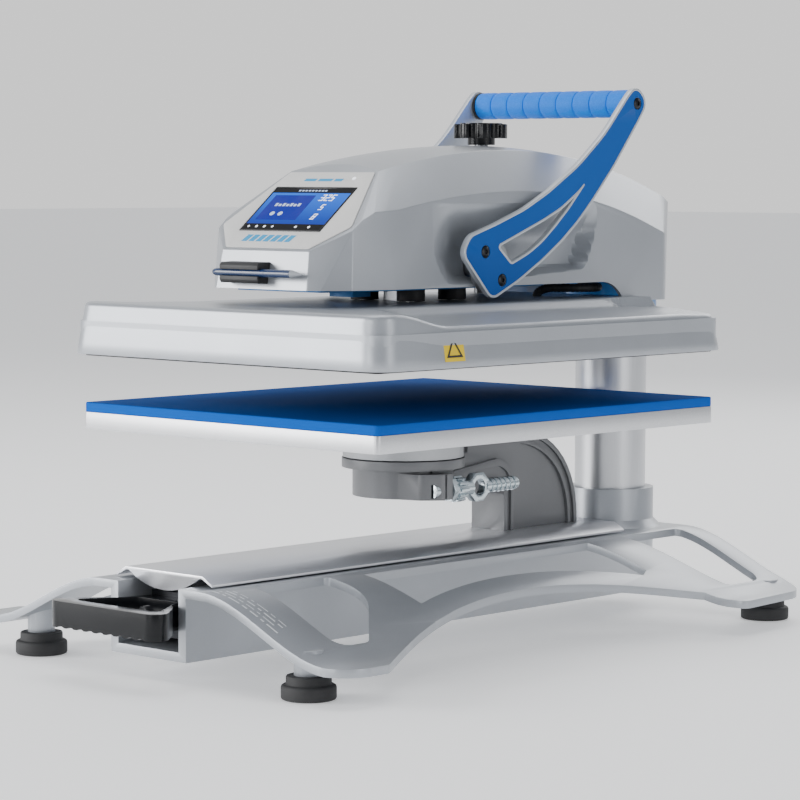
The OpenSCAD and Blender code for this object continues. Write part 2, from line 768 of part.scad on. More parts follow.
// Involute cam: its flat follower moves in proportion to the turn of the shaft
module press_cam() {
    steps = 16;
    lobe = [for (i = [0:steps])
        let (a = 270 - handle_swing * i / steps, h = cam_base + cam_rate * (270 - a) * PI / 180)
        [h * cos(a) + cam_rate * sin(a), h * sin(a) - cam_rate * cos(a)]];
    color([0.5, 0.51, 0.53]) translate([0, pivot_y, pivot_z]) difference() {
        union() {
            rotate([90, 0, 90]) translate([0, 0, -10]) linear_extrude(20)
                polygon(concat([[0, 0], [-1, -cam_base]], lobe, [[4, 12]]));
            rod_x_axis(cam_base - 0.4, -11.5, 11.5);
        }
        rod_x_axis(shaft_r, -20, 20);
    }
}

module lever_flanges() {
    color([0.55, 0.56, 0.58]) translate([0, pivot_y, pivot_z]) both_sides() difference() {
        union() {
            rod_x_axis(27, casing_hw + 0.5, lever_x);
            rod_x_axis(13.5, 72, casing_hw + 1);
        }
        rod_x_axis(shaft_r, 60, 101);
        for (b = [bolt_low, bolt_high]) translate([0, b[0] - pivot_y, b[1] - pivot_z]) rod_x_axis(4, 85, 120);
    }
}

// Side view of the lever in (y, z), and of the silver edge round its slot
lever_outline = rounded([
    [15.9, 348.2, 14], [-29, 395.5, 13], [-17, 414, 18], [21, 425.2, 60],
    [64, 439.5, 150], [101, 456.5, 200],
    [149, 484, 200], [192, 516.8, 200], [229, 555.5, 30], [244.1, 568.6, 13], [264.5, 550, 13],
    [248.3, 528.8, 100], [208.7, 482, 300], [174.5, 447.2, 200], [151.4, 425.8, 200], [125.1, 405.8, 200],
    [93.8, 386, 200], [57.8, 366.6, 200]]);
slot_edge = rounded([
    [22.5, 403, 4], [62.5, 417.3, 150], [93.3, 428.6, 150], [122, 440.4, 120],
    [151, 457.9, 100], [176.4, 479, 1], [135.3, 438.4, 200], [114.3, 420.9, 150],
    [93.6, 405.2, 150], [73, 393.8, 120], [45.5, 383.2, 6]]);

module lever(x0, x1) {
    difference() {
        along_x(x0, x1) difference() {
            polygon(lever_outline);
            offset(delta = -lever_rim) polygon(slot_edge);
        }
        for (b = [bolt_low, bolt_high, [grip_y, grip_z]])
            translate([0, b[0], b[1]]) rod_x_axis(4, x0 - 1, x1 + 1);
    }
}

module lever_blank() {
    difference() {
        lever(lever_x, lever_x + lever_t);
        along_x(lever_x + lever_t - 1.2, lever_x + lever_t + 1) inlay_outline();
        for (b = [bolt_low, bolt_high, [grip_y, grip_z]])
            translate([0, b[0], b[1]]) rod_x_axis(6.5, lever_x + lever_t - 3.4, lever_x + lever_t + 1);
    }
}

module inlay_outline() {
    difference() {
        offset(delta = -lever_rim) polygon(lever_outline);
        polygon(slot_edge);
    }
}

module lever_right() {
    color([0.74, 0.75, 0.77]) lever_blank();
}

module lever_left() {
    color([0.74, 0.75, 0.77]) mirror([1, 0, 0]) lever_blank();
}

module inlay() {
    difference() {
        along_x(lever_x + lever_t - 1.2, lever_x + lever_t - 0.3) inlay_outline();
        for (b = [bolt_low, bolt_high, [grip_y, grip_z]])
            translate([0, b[0], b[1]]) rod_x_axis(6.5, 100, 120);
    }
}

module lever_inlay_right() {
    color([0.0, 0.36, 0.68]) inlay();
}

module lever_inlay_left() {
    color([0.0, 0.36, 0.68]) mirror([1, 0, 0]) inlay();
}

module lever_bolts() {
    seat = lever_x + lever_t - 3.4;
    color([0.1, 0.1, 0.1]) both_sides() for (b = [bolt_low, bolt_high, [grip_y, grip_z]])
        translate([seat, b[0], b[1]]) rotate([0, 90, 0]) union() {
            button_head(6, 4.4, 2.2);
            translate([0, 0, b[0] == grip_y ? -20 : -8]) cylinder(r = 4, h = b[0] == grip_y ? 20.5 : 8.5);
        }
}

module grip_tube() {
    color([0.7, 0.71, 0.72]) translate([0, grip_y, grip_z]) difference() {
        rod_x_axis(9.5, -lever_x, lever_x);
        rod_x_axis(4, lever_x - 26, lever_x + 1);
        rod_x_axis(4, -lever_x - 1, -lever_x + 26);
    }
}

module foam_grip() {
    half = lever_x - 3;
    pitch = 2 * half / (grip_grooves + 1);
    color([0.0, 0.5, 0.87]) translate([0, grip_y, grip_z]) difference() {
        rod_x_axis(grip_r, -half, half);
        rod_x_axis(9.5, -120, 120);
        for (k = [1:grip_grooves]) translate([-half + pitch * k, 0, 0]) difference() {
            rod_x_axis(grip_r + 2, -0.7, 0.7);
            rod_x_axis(grip_r - 1.2, -1, 1);
        }
    }
}

module grip_rings() {
    color([0.06, 0.06, 0.07]) translate([0, grip_y, grip_z]) both_sides() difference() {
        rod_x_axis(grip_r, lever_x - 3, lever_x);
        rod_x_axis(9.5, 90, 120);
    }
}

// ---- heat platen --------------------------------------------------------------------------

cover_w = 431.7;
cover_d = 526.1;
cover_y = platen_y - 1;

module cover_block(z0, z1, lean, w, d, yc) {
    hull() {
        translate([0, yc, z0]) rounded_box(w, d, tiny, 24);
        translate([0, yc, z1 - 4]) rounded_box(w - lean, d - lean, tiny, 22);
        translate([0, yc, z1 - 1.2]) rounded_box(w - lean - 2.4, d - lean - 2.4, tiny, 21);
        translate([0, yc, z1 - tiny]) rounded_box(w - lean - 7, d - lean - 7, tiny, 19);
    }
}

module platen_cover() {
    front = cover_y - cover_d / 2;
    color([0.72, 0.74, 0.76]) difference() {
        union() {
            cover_block(cover_z, cover_shelf, 12, cover_w, cover_d, cover_y);
            intersection() {
                cover_block(cover_z, cover_top, 16, cover_w, cover_d, cover_y);
                translate([0, 0, 300]) linear_extrude(60) polygon(rounded([
                    [-230, front - 10, 0], [230, front - 10, 0], [230, -156, 0], [128, -150, 14],
                    [126, 195, 12], [-126, 195, 12], [-128, -150, 14], [-230, -156, 0]]));
            }
        }
        hull() {
            translate([0, cover_y, cover_z - 1]) rounded_box(cover_w - 5, cover_d - 5, tiny, 22);
            translate([0, cover_y, cover_shelf - 2.5]) rounded_box(cover_w - 17, cover_d - 17, tiny, 20);
        }
        translate([0, 0, 320]) linear_extrude(cover_top - 2.5 - 320)
            polygon([[-200, -248], [200, -248], [200, -160], [123, -154], [123, 191], [-123, 191],
                [-123, -154], [-200, -160]]);
        for (x = [-rod_x, rod_x], y = [-rod_dy, rod_dy]) translate([x, rod_y + y, 330])
            cylinder(r = 6.6, h = 40);
        translate([-13, cam_line_y - 10.5, 330]) cube([26, 21, 40]);
        translate([conduit_end[0], conduit_end[1], 330]) cylinder(r = 8, h = 40);
        for (s = [-1, 1]) translate([s * 118, 240, 320]) cylinder(r = 3, h = 20);
    }
}

module cover_screws() {
    color([0.1, 0.1, 0.1]) for (s = [-1, 1]) translate([s * 118, 240, cover_shelf]) {
        button_head(7, 4.5, 2.5);
        translate([0, 0, insulation_z - cover_shelf]) cylinder(r = 3, h = cover_shelf - insulation_z + 0.5);
    }
}

module heater_plate() {
    color([0.05, 0.05, 0.06]) translate([0, platen_y, heater_z]) rounded_box(platen_w, platen_d, heater_t, 6);
}

module insulation_board() {
    color([0.85, 0.82, 0.7]) difference() {
        translate([0, platen_y, insulation_z]) rounded_box(platen_w - 8, platen_d - 12, insulation_t, 6);
        for (s = [-1, 1]) translate([s * 118, 240, 300]) cylinder(r = 3, h = 40);
    }
}

module crosshead() {
    color([0.45, 0.46, 0.48]) difference() {
        union() {
            translate([-60, platen_y - 55, crosshead_z]) cube([120, 110, 8]);
            translate([-12, cam_line_y - 9, crosshead_z]) cube([24, 18, follower_top - crosshead_z]);
            for (x = [-rod_x, rod_x], y = [-rod_dy, rod_dy]) translate([x, rod_y + y, crosshead_z])
                cylinder(r = 11, h = 18);
        }
        for (x = [-rod_x, rod_x], y = [-rod_dy, rod_dy]) translate([x, rod_y + y, crosshead_z + 2])
            cylinder(r = rod_r, h = 40);
    }
}

rod_top = 446;

module guide_rods() {
    color([0.75, 0.76, 0.78]) for (x = [-rod_x, rod_x], y = [-rod_dy, rod_dy]) translate([x, rod_y + y, 0]) {
        translate([0, 0, crosshead_z + 2]) cylinder(r = rod_r, h = rod_top - crosshead_z - 2);
        translate([0, 0, rod_top - 4]) cylinder(r = 9, h = 4);
    }
}

module lift_springs() {
    turns = 6;
    low = 369.5;
    high = rod_top - 5.5;
    color([0.65, 0.66, 0.68]) for (x = [-rod_x, rod_x], y = [-rod_dy, rod_dy]) translate([x, rod_y + y, 0])
        tube_along([for (i = [0:turns * 8])
            [7.6 * cos(45 * i), 7.6 * sin(45 * i), low + (high - low) * i / (turns * 8)]], 0.9, 6);
}

// ---- pressure screw and conduit -----------------------------------------------------------

module pressure_knob() {
    top = 527;
    low = 511.3;
    color([0.04, 0.04, 0.05]) translate([0, screw_y, 0]) difference() {
        union() {
            translate([0, 0, low]) cylinder(r = 22, h = top - low);
            for (k = [0:knob_lobes - 1]) rotate([0, 0, 360 * k / knob_lobes + 12])
                translate([20.6, 0, low]) cylinder(r = 8, h = top - low - 1);
            translate([0, 0, 504.4]) cylinder(r = 14.4, h = 8);
        }
        for (k = [0:knob_lobes - 1]) rotate([0, 0, 360 * (k + 0.5) / knob_lobes + 12])
            translate([27, 0, low - 1]) cylinder(r = 6, h = 30);
        translate([0, 0, 480]) cylinder(r = screw_r, h = 38);
    }
}

module pressure_screw() {
    color([0.35, 0.36, 0.38]) translate([0, screw_y, 349.5]) cylinder(r = screw_r, h = 518 - 349.5);
}

gland_at = [18, 268];
conduit_end = [30, 182];
conduit_route = [
    [18, 268, 374], [18, 268, 368], [20, 266, 362], [28, 262, 357], [42, 257, 355], [58, 248, 355],
    [70, 234, 355], [73, 218, 355], [66, 203, 355], [52, 193, 355], [41, 187, 355], [33, 183, 352],
    [30, 182, 346], [30, 182, 338]];

module conduit_gland() {
    color([0.08, 0.08, 0.09]) translate([gland_at[0], gland_at[1], 0]) difference() {
        union() {
            translate([0, 0, 370]) cylinder(r = 11, h = 6, $fn = 6);
            translate([0, 0, 375]) cylinder(r = 8, h = 14);
        }
        translate([0, 0, 360]) cylinder(r = 5, h = 60);
    }
}

module heater_conduit() {
    color([0.06, 0.06, 0.07]) tube_along(conduit_route, 4.6, 10);
}

base_casting();
rubber_feet();
foot_studs();
post_tube();
post_cap();
collar_screws();
fixed_rails();
thrust_washer();
slide_plate();
drawer_beam();
drawer_runners();
drawer_handle();
drawer_handle_screws();
platen_arm();
arm_bolts();
clamp_nut();
clamp_screw();
platen_spigot();
platen_screws();
platen_plate();
silicone_pad();
casing_shell();
console_overlay();
screen_frame();
touch_screen();
status_light();
control_board();
stylus_clip();
stylus_barrel();
stylus_tip();
casing_screws();
power_plate();
power_inlet();
rocker_key();
swing_frame();
hub_bushes();
guide_bushes();
shaft_bearings();
conduit_gland();
heater_conduit();
cross_shaft();
press_cam();
lever_flanges();
lever_right();
lever_left();
lever_inlay_right();
lever_inlay_left();
lever_bolts();
grip_tube();
foam_grip();
grip_rings();
platen_cover();
heater_plate();
insulation_board();
crosshead();
guide_rods();
lift_springs();
cover_screws();
pressure_knob();
pressure_screw();
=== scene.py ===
"""Swing-away heat press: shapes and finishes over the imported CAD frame. Metres, +Z up, +Y to the rear."""
import math

import bmesh
import bpy
from mathutils import Matrix, Vector


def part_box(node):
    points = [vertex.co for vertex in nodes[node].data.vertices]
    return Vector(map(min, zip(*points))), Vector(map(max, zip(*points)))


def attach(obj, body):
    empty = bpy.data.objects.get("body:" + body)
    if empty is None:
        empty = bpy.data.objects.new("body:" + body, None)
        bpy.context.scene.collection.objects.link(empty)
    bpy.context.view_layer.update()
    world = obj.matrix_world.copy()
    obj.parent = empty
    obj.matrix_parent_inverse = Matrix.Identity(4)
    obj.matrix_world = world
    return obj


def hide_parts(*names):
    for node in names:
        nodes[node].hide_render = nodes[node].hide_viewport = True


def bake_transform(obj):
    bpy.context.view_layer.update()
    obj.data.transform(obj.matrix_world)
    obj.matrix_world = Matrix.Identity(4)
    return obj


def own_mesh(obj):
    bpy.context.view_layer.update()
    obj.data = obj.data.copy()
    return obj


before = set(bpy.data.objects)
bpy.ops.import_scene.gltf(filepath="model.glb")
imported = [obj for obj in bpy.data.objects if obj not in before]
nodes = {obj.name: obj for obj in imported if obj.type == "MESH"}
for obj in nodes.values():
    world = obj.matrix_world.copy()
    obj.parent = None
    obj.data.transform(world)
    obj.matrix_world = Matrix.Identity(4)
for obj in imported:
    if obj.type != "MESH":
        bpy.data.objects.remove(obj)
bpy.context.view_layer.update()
MM = 0.001
scene = bpy.context.scene

# The press's own datum lines, in metres, taken from the frame
pad_lo, pad_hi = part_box("silicone_pad")
post_lo, post_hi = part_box("post_tube")
POST_Y = (post_lo[1] + post_hi[1]) / 2
PLATEN_Y = (pad_lo[1] + pad_hi[1]) / 2
SHAFT_Y = sum(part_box("cross_shaft")[i][1] for i in (0, 1)) / 2
SHAFT_Z = sum(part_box("cross_shaft")[i][2] for i in (0, 1)) / 2
GRIP_Y = sum(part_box("grip_tube")[i][1] for i in (0, 1)) / 2
GRIP_Z = sum(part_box("grip_tube")[i][2] for i in (0, 1)) / 2


# ---- camera, light and floor -------------------------------------------------------------

def look_from(place, azimuth, pitch, roll):
    """Camera turned to azimuth (0 looks along +Y), tipped down by pitch, then rolled; degrees."""
    a, p, r = map(math.radians, (azimuth, pitch, roll))
    ahead = Vector((-math.sin(a) * math.cos(p), math.cos(a) * math.cos(p), -math.sin(p)))
    right = Vector((math.cos(a), math.sin(a), 0))
    up = right.cross(ahead)
    right, up = right * math.cos(r) + up * math.sin(r), up * math.cos(r) - right * math.sin(r)
    turn = Matrix((right, up, -ahead)).transposed().to_4x4()
    return Matrix.Translation(place) @ turn


cam = bpy.data.objects.new("camera", bpy.data.cameras.new("camera"))
cam.data.lens = 132.69
cam.data.sensor_width = 36
cam.data.clip_end = 60
cam.matrix_world = look_from(Vector((2.04153, -2.1955, 0.4716)), 42.88, 4.34, 0.17)
scene.collection.objects.link(cam)
scene.camera = cam


def area_light(name, place, aim, size, power):
    lamp = bpy.data.lights.new(name, "AREA")
    lamp.shape = "RECTANGLE"
    lamp.size, lamp.size_y = size
    lamp.energy = power
    thing = bpy.data.objects.new(name, lamp)
    thing.location = place
    thing.rotation_mode = "QUATERNION"
    thing.rotation_quaternion = (Vector(aim) - Vector(place)).to_track_quat("-Z", "Y")
    scene.collection.objects.link(thing)


area_light("key_light", (-2.5, -2.8, 1.05), (0, 0, 0.3), (2.0, 1.7), 120)
area_light("front_box", (0.15, -3.3, 0.7), (0, 0, 0.35), (1.1, 0.9), 22)
area_light("edge_strip", (3.2, -0.25, 0.9), (0, -0.1, 0.35), (0.25, 1.5), 10)
area_light("top_light", (-0.2, 0.2, 3.0), (0, 0, 0.3), (2.6, 2.2), 42)
area_light("side_fill", (3.4, 0.6, 1.2), (0, 0, 0.3), (0.5, 2.2), 8)
area_light("back_light", (-0.6, 3.0, 1.8), (0, 0, 0.35), (2.4, 1.2), 30)


# ---- shader helper -----------------------------------------------------------------------

class Wire:
    """A socket's value in a node tree, with maths on it written as Python."""

    def __init__(self, tree, socket):
        self.tree, self.socket = tree, socket

    def node(self, kind, settings=None, **sockets):
        made = self.tree.nodes.new(kind)
        for key, value in (settings or {}).items():
            if key == "stops":
                ramp = made.color_ramp
                while len(ramp.elements) < len(value):
                    ramp.elements.new(0.5)
                for element, (at, colour) in zip(ramp.elements, value):
                    element.position = at
                    element.color = colour
            else:
                setattr(made, key, value)
        for key, value in sockets.items():
            slot = made.inputs[int(key[1:])] if key[0] == "_" else made.inputs[key.replace("_", " ")]
            if isinstance(value, Wire):
                self.tree.links.new(value.socket, slot)
            else:
                slot.default_value = value
        return made

    def out(self, kind, settings=None, output=0, **sockets):
        return Wire(self.tree, self.node(kind, settings, **sockets).outputs[output])

    def maths(self, operation, other=0.0, third=0.0, swap=False):
        a, b = (other, self) if swap else (self, other)
        return self.out("ShaderNodeMath", {"operation": operation}, _0=a, _1=b, _2=third)

    def __add__(self, other): return self.maths("ADD", other)
    def __radd__(self, other): return self.maths("ADD", other, swap=True)
    def __sub__(self, other): return self.maths("SUBTRACT", other)
    def __rsub__(self, other): return self.maths("SUBTRACT", other, swap=True)
    def __mul__(self, other): return self.maths("MULTIPLY", other)
    def __rmul__(self, other): return self.maths("MULTIPLY", other, swap=True)
    def __truediv__(self, other): return self.maths("DIVIDE", other)
    def __pow__(self, other): return self.maths("POWER", other)

    def clamp(self): return self.out("ShaderNodeClamp", None, Value=self)

    def smooth(self, low, high):
        return self.out("ShaderNodeMapRange", {"interpolation_type": "SMOOTHSTEP"}, _0=self, _1=low, _2=high)


def new_material(name):
    """A material holding only its Principled shader; returns it, its shader and a Wire to build from."""
    made = bpy.data.materials.new(name)
    made.use_nodes = True
    shader = made.node_tree.nodes["Principled BSDF"]
    return made, shader, Wire(made.node_tree, None)


def mix(wire, share, a, b):
    return wire.out("ShaderNodeMix", {"data_type": "RGBA"}, 2, _0=share, _6=a, _7=b)


def bump(wire, height, strength, distance):
    return wire.out("ShaderNodeBump", None, Strength=strength, Distance=distance, Height=height)


def plug(made, shader, **sockets):
    for key, value in sockets.items():
        slot = shader.inputs[key.replace("_", " ")]
        if isinstance(value, Wire):
            made.node_tree.links.new(value.socket, slot)
        else:
            slot.default_value = value
    return made


def rgb(r, g, b): return (r, g, b, 1.0)


def noise(wire, where, scale, detail=3.0, rough=0.55):
    return wire.out("ShaderNodeTexNoise", None, 0, Vector=where, Scale=scale, Detail=detail, Roughness=rough)


def edge_highlight_mask(wire, low, high):
    """1 on convex edges and 0 on flats, from the surface's own pointiness; it masks the painted edge
    highlight.
    """
    return wire.out("ShaderNodeNewGeometry", None, 7).smooth(low, high)


def painted(name, colour, shade, rough, grain=900.0, depth=0.00006, metal=0.55, coat=0.25, edge_highlight=0.12,
            spec=0.5):
    """Powder coat with metal flake: fine orange peel, faint mottle and convex edges lightened towards white
    as a painted highlight.
    """
    made, shader, w = new_material(name)
    where = w.out("ShaderNodeTexCoord", None, 3)
    mottle = noise(w, where, 14.0, 4.0)
    flake = noise(w, where, 2600.0, 1.0, 0.4).smooth(0.52, 0.72)
    peel = noise(w, where, grain, 2.0, 0.5)
    base = mix(w, (mottle * 0.5 + flake * 0.35).clamp(), rgb(*shade), rgb(*colour))
    # painted highlight: convex edges are mixed towards near-white
    base = mix(w, edge_highlight_mask(w, 0.52, 0.62) * edge_highlight, base, rgb(0.9, 0.91, 0.93))
    plug(made, shader, Base_Color=base, Roughness=(mottle * 0.12 + (rough - 0.06)).clamp(), Metallic=metal)
    plug(made, shader, Coat_Weight=coat, Coat_Roughness=0.28, Normal=bump(w, peel, 0.35, depth))
    plug(made, shader, Specular_IOR_Level=spec)
    return made


def metal(name, colour, shade, rough, along=(1, 1, 1), scale=420.0, depth=0.00003, spots=0.0):
    """Bare metal; along stretches the grain, so a small number draws it out along that axis."""
    made, shader, w = new_material(name)
    where = w.out("ShaderNodeTexCoord", None, 3)
    laid = w.out("ShaderNodeMapping", None, 0, Vector=where, Scale=along)
    grain = noise(w, laid, scale, 3.0, 0.6)
    mottle = noise(w, where, 22.0, 3.0)
    blend = (grain * 0.65 + mottle * 0.35).clamp()
    base = mix(w, blend, rgb(*shade), rgb(*colour))
    if spots:
        base = mix(w, noise(w, where, 1500.0, 1.0).smooth(0.56, 0.7) * spots, base, rgb(0.95, 0.96, 0.97))
    plug(made, shader, Base_Color=base, Roughness=(grain * 0.22 + (rough - 0.11)).clamp(), Metallic=1.0)
    plug(made, shader, Normal=bump(w, grain, 0.4, depth))
    return made


def plastic(name, colour, rough, grain=1100.0, depth=0.00004, coat=0.0, sheen=0.0, vary=0.25, spec=0.5):
    """Moulded plastic or rubber with a fine skin, a little dusty in soft random patches."""
    made, shader, w = new_material(name)
    where = w.out("ShaderNodeTexCoord", None, 3)
    skin = noise(w, where, grain, 2.0, 0.5)
    cloud = noise(w, where, 30.0, 3.0)
    pale = tuple(c + (0.5 - c) * 0.10 * vary for c in colour)
    base = mix(w, cloud.smooth(0.35, 0.75), rgb(*colour), rgb(*pale))
    plug(made, shader, Base_Color=base, Roughness=(cloud * 0.14 + skin * 0.08 + (rough - 0.11)).clamp())
    plug(made, shader, Coat_Weight=coat, Coat_Roughness=0.08, Sheen_Weight=sheen, Sheen_Roughness=0.5)
    plug(made, shader, Normal=bump(w, skin, 0.3, depth), Specular_IOR_Level=spec)
    return made


def foam():
    """Closed-cell foam: pitted skin with a soft bloom."""
    made, shader, w = new_material("blue_foam")
    where = w.out("ShaderNodeTexCoord", None, 3)
    cells = w.out("ShaderNodeTexVoronoi", None, 0, Vector=where, Scale=900.0)
    cloud = noise(w, where, 60.0, 3.0)
    base = mix(w, (cells * 0.6 + cloud * 0.4).clamp(), rgb(0.0, 0.14, 0.70), rgb(0.0, 0.25, 0.96))
    plug(made, shader, Base_Color=base, Roughness=(cloud * 0.2 + 0.5).clamp(), Sheen_Weight=0.05)
    plug(made, shader, Sheen_Roughness=0.4, Specular_IOR_Level=0.2, Normal=bump(w, cells, 0.5, 0.0004))
    return made


def silicone():
    """Dense silicone sponge: blue on its cut edges, with its up-facing top given darker blues as painted
    shade.
    """
    made, shader, w = new_material("blue_silicone")
    where = w.out("ShaderNodeTexCoord", None, 3)
    facing = w.out("ShaderNodeSeparateXYZ", None, 2, Vector=w.out("ShaderNodeNewGeometry", None, 1))
    top = facing.smooth(0.6, 0.9)
    pores = noise(w, where, 1400.0, 2.0, 0.6)
    cloud = noise(w, where, 9.0, 4.0)
    side = mix(w, pores, rgb(0.0, 0.065, 0.38), rgb(0.0, 0.12, 0.56))
    # the top's darker blues are painted shade from the platen above
    shaded_top_colour = mix(w, cloud, rgb(0.0, 0.070, 0.34), rgb(0.0, 0.095, 0.45))
    plug(made, shader, Base_Color=mix(w, top, side, shaded_top_colour), Roughness=(0.7 + top * 0.15 + cloud * 0.1).clamp())
    plug(made, shader, Specular_IOR_Level=0.1, Normal=bump(w, pores, 0.3, 0.00012))
    return made


def glowing(name, colour, power):
    """Lit ink behind glass: a little uneven, as a backlight is."""
    made, shader, w = new_material(name)
    cloud = noise(w, w.out("ShaderNodeTexCoord", None, 3), 40.0, 2.0)
    lit = mix(w, cloud, rgb(*[c * 0.94 for c in colour]), rgb(*colour))
    plug(made, shader, Base_Color=lit, Emission_Color=lit, Emission_Strength=power)
    plug(made, shader, Roughness=(cloud * 0.05 + 0.15).clamp())
    return made


def screen_glass(low, high):
    """The display's backlit field: deep blue at the bottom, pale blue at the top."""
    made, shader, w = new_material("screen_field")
    height = w.out("ShaderNodeSeparateXYZ", None, 2, Vector=w.out("ShaderNodeTexCoord", None, 3))
    share = height.smooth(low, high)
    lit = mix(w, share, rgb(0.0, 0.025, 0.36), rgb(0.005, 0.17, 0.88))
    base = mix(w, share, rgb(0.0, 0.010, 0.10), rgb(0.0, 0.04, 0.25))
    plug(made, shader, Base_Color=base, Emission_Color=lit, Emission_Strength=0.9)
    plug(made, shader, Roughness=(share * 0.05 + 0.2).clamp(), Specular_IOR_Level=0.1)
    return made


# each coat lightens its convex edges by its edge_highlight share: a painted highlight
silver = painted("silver_coat", (0.50, 0.525, 0.56), (0.36, 0.38, 0.41), 0.38)
lever_silver = painted("lever_coat", (0.66, 0.69, 0.73), (0.50, 0.53, 0.57), 0.33, edge_highlight=0.3)
grey_coat = painted("grey_coat", (0.200, 0.205, 0.212), (0.135, 0.138, 0.145), 0.46, metal=0.35, edge_highlight=0.1)
blue_coat = painted("blue_coat", (0.0, 0.17, 0.47), (0.0, 0.12, 0.36), 0.38, metal=0.2)
inlay_blue = painted("inlay_blue", (0.0, 0.105, 0.44), (0.0, 0.080, 0.36), 0.45, metal=0.0, coat=0.0,
                     edge_highlight=0.0, spec=0.2)
post_steel = metal("post_steel", (0.66, 0.67, 0.69), (0.50, 0.51, 0.53), 0.34, along=(1, 1, 0.04),
                   scale=700.0)
rod_steel = metal("rod_steel", (0.72, 0.73, 0.75), (0.58, 0.59, 0.61), 0.22, along=(1, 1, 0.05), scale=900.0)
mill_steel = metal("mill_steel", (0.36, 0.37, 0.39), (0.24, 0.25, 0.26), 0.42)
sanded = metal("sanded_aluminium", (0.78, 0.79, 0.81), (0.58, 0.59, 0.61), 0.42, scale=1300.0,
               depth=0.00008, spots=0.7)
cast_metal = metal("cast_aluminium", (0.52, 0.53, 0.545), (0.38, 0.39, 0.40), 0.5, scale=260.0, depth=0.0001)
brushed_sheet = metal("brushed_sheet", (0.80, 0.81, 0.84), (0.66, 0.67, 0.70), 0.36, along=(1, 0.05, 1),
                      scale=600.0)
zinc = metal("zinc_plate", (0.72, 0.78, 0.80), (0.50, 0.58, 0.62), 0.2, scale=90.0)
bronze = metal("bearing_bronze", (0.62, 0.44, 0.22), (0.45, 0.30, 0.14), 0.35)
black_oxide = metal("black_oxide", (0.045, 0.046, 0.05), (0.022, 0.023, 0.026), 0.32, scale=300.0)
coated_plate = metal("coated_plate", (0.060, 0.058, 0.058), (0.030, 0.029, 0.030), 0.42, scale=500.0)
gloss_black = plastic("gloss_black", (0.003, 0.0036, 0.005), 0.2, depth=0.00001, coat=0.04, vary=0.02,
                      spec=0.28)
matte_black = plastic("matte_black", (0.018, 0.018, 0.020), 0.55)
foot_rubber = plastic("foot_rubber", (0.022, 0.022, 0.023), 0.7, grain=700.0, depth=0.0001)
hose_black = plastic("hose_black", (0.016, 0.017, 0.020), 0.5, grain=400.0)
panel_grey = plastic("panel_grey", (0.66, 0.655, 0.64), 0.42, grain=1600.0, depth=0.00002)
navy = plastic("stylus_navy", (0.010, 0.030, 0.095), 0.25, depth=0.00001, coat=0.4)
tip_grey = plastic("stylus_grey", (0.30, 0.32, 0.35), 0.5)
fibre = plastic("fibre_board", (0.50, 0.46, 0.36), 0.8, grain=200.0, depth=0.0003)
board_green = plastic("board_green", (0.01, 0.11, 0.04), 0.4)
blue_foam = foam()
blue_silicone = silicone()


# ---- mesh helpers ------------------------------------------------------------------------

def piece_from(name, body, material, build, smooth=math.radians(35), replaces=()):
    """Runs build(bmesh), then makes, shades and mounts the piece on its body."""
    work = bmesh.new()
    build(work)
    bmesh.ops.remove_doubles(work, verts=work.verts, dist=1e-6)
    bmesh.ops.recalc_face_normals(work, faces=work.faces)
    mesh = bpy.data.meshes.new(name)
    work.to_mesh(mesh)
    work.free()
    thing = bpy.data.objects.new(name, mesh)
    scene.collection.objects.link(thing)
    return mount(thing, body, material, smooth, replaces)


def mount(thing, body, material, smooth=math.radians(35), replaces=()):
    thing.data.materials.clear()
    thing.data.materials.append(material)
    if smooth:
        thing.data.shade_smooth()
        thing.data.set_sharp_from_angle(angle=smooth)
    if body:
        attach(thing, body)
    if replaces:
        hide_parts(*replaces)
    return thing


def baked(thing, *modifiers):
    """Adds each (kind, settings) modifier to a thing and turns the result into its plain mesh."""
    for kind, settings in modifiers:
        made = thing.modifiers.new(kind.lower(), kind)
        for key, value in settings.items():
            setattr(made, key, value)
    bpy.context.view_layer.update()
    done = bpy.data.meshes.new_from_object(thing.evaluated_get(bpy.context.evaluated_depsgraph_get()))
    thing.modifiers.clear()
    thing.data = done
    return thing


def rounded_copy(node, material, body, width=0.0012, segments=2, angle=32, smooth=35, name=None):
    """A CAD node's own shape, with its edges broken as a casting's or a moulding's are."""
    work = bmesh.new()
    work.from_mesh(nodes[node].data)
    bmesh.ops.remove_doubles(work, verts=work.verts, dist=2e-6)
    bmesh.ops.dissolve_limit(work, angle_limit=math.radians(0.6), verts=work.verts, edges=work.edges)
    mesh = bpy.data.meshes.new((name or node) + "_finished")
    work.to_mesh(mesh)
    work.free()
    thing = bpy.data.objects.new((name or node) + "_finished", mesh)
    scene.collection.objects.link(thing)
    if width:
        baked(thing, ("BEVEL", {"width": width, "segments": segments, "limit_method": "ANGLE",
                                "angle_limit": math.radians(angle), "use_clamp_overlap": True,
                                "miter_outer": "MITER_ARC"}))
    work = bmesh.new()
    work.from_mesh(thing.data)
    bmesh.ops.triangulate(work, faces=[f for f in work.faces if len(f.verts) > 4])
    work.to_mesh(thing.data)
    work.free()
    return mount(thing, body, material, math.radians(smooth), (node,))


def arc(cx, cy, r, a0, a1, n):
    return [(cx + r * math.cos(math.radians(a0 + (a1 - a0) * i / n)),
             cy + r * math.sin(math.radians(a0 + (a1 - a0) * i / n))) for i in range(n + 1)]


def lathe(work, profile, turns, place):
    """Turns (radius, height) pairs about an axis; place(radius, angle, height) gives the point."""
    rings = []
    for r, h in profile:
        if r < 1e-7:
            rings.append([work.verts.new(place(0, 0, h))])
        else:
            rings.append([work.verts.new(place(r, 2 * math.pi * k / turns, h)) for k in range(turns)])
    for a, b in zip(rings, rings[1:]):
        for k in range(turns):
            n = (k + 1) % turns
            if len(a) == 1 and len(b) > 1:
                work.faces.new((a[0], b[k], b[n]))
            elif len(b) == 1 and len(a) > 1:
                work.faces.new((a[k], a[n], b[0]))
            elif len(a) > 1:
                work.faces.new((a[k], a[n], b[n], b[k]))


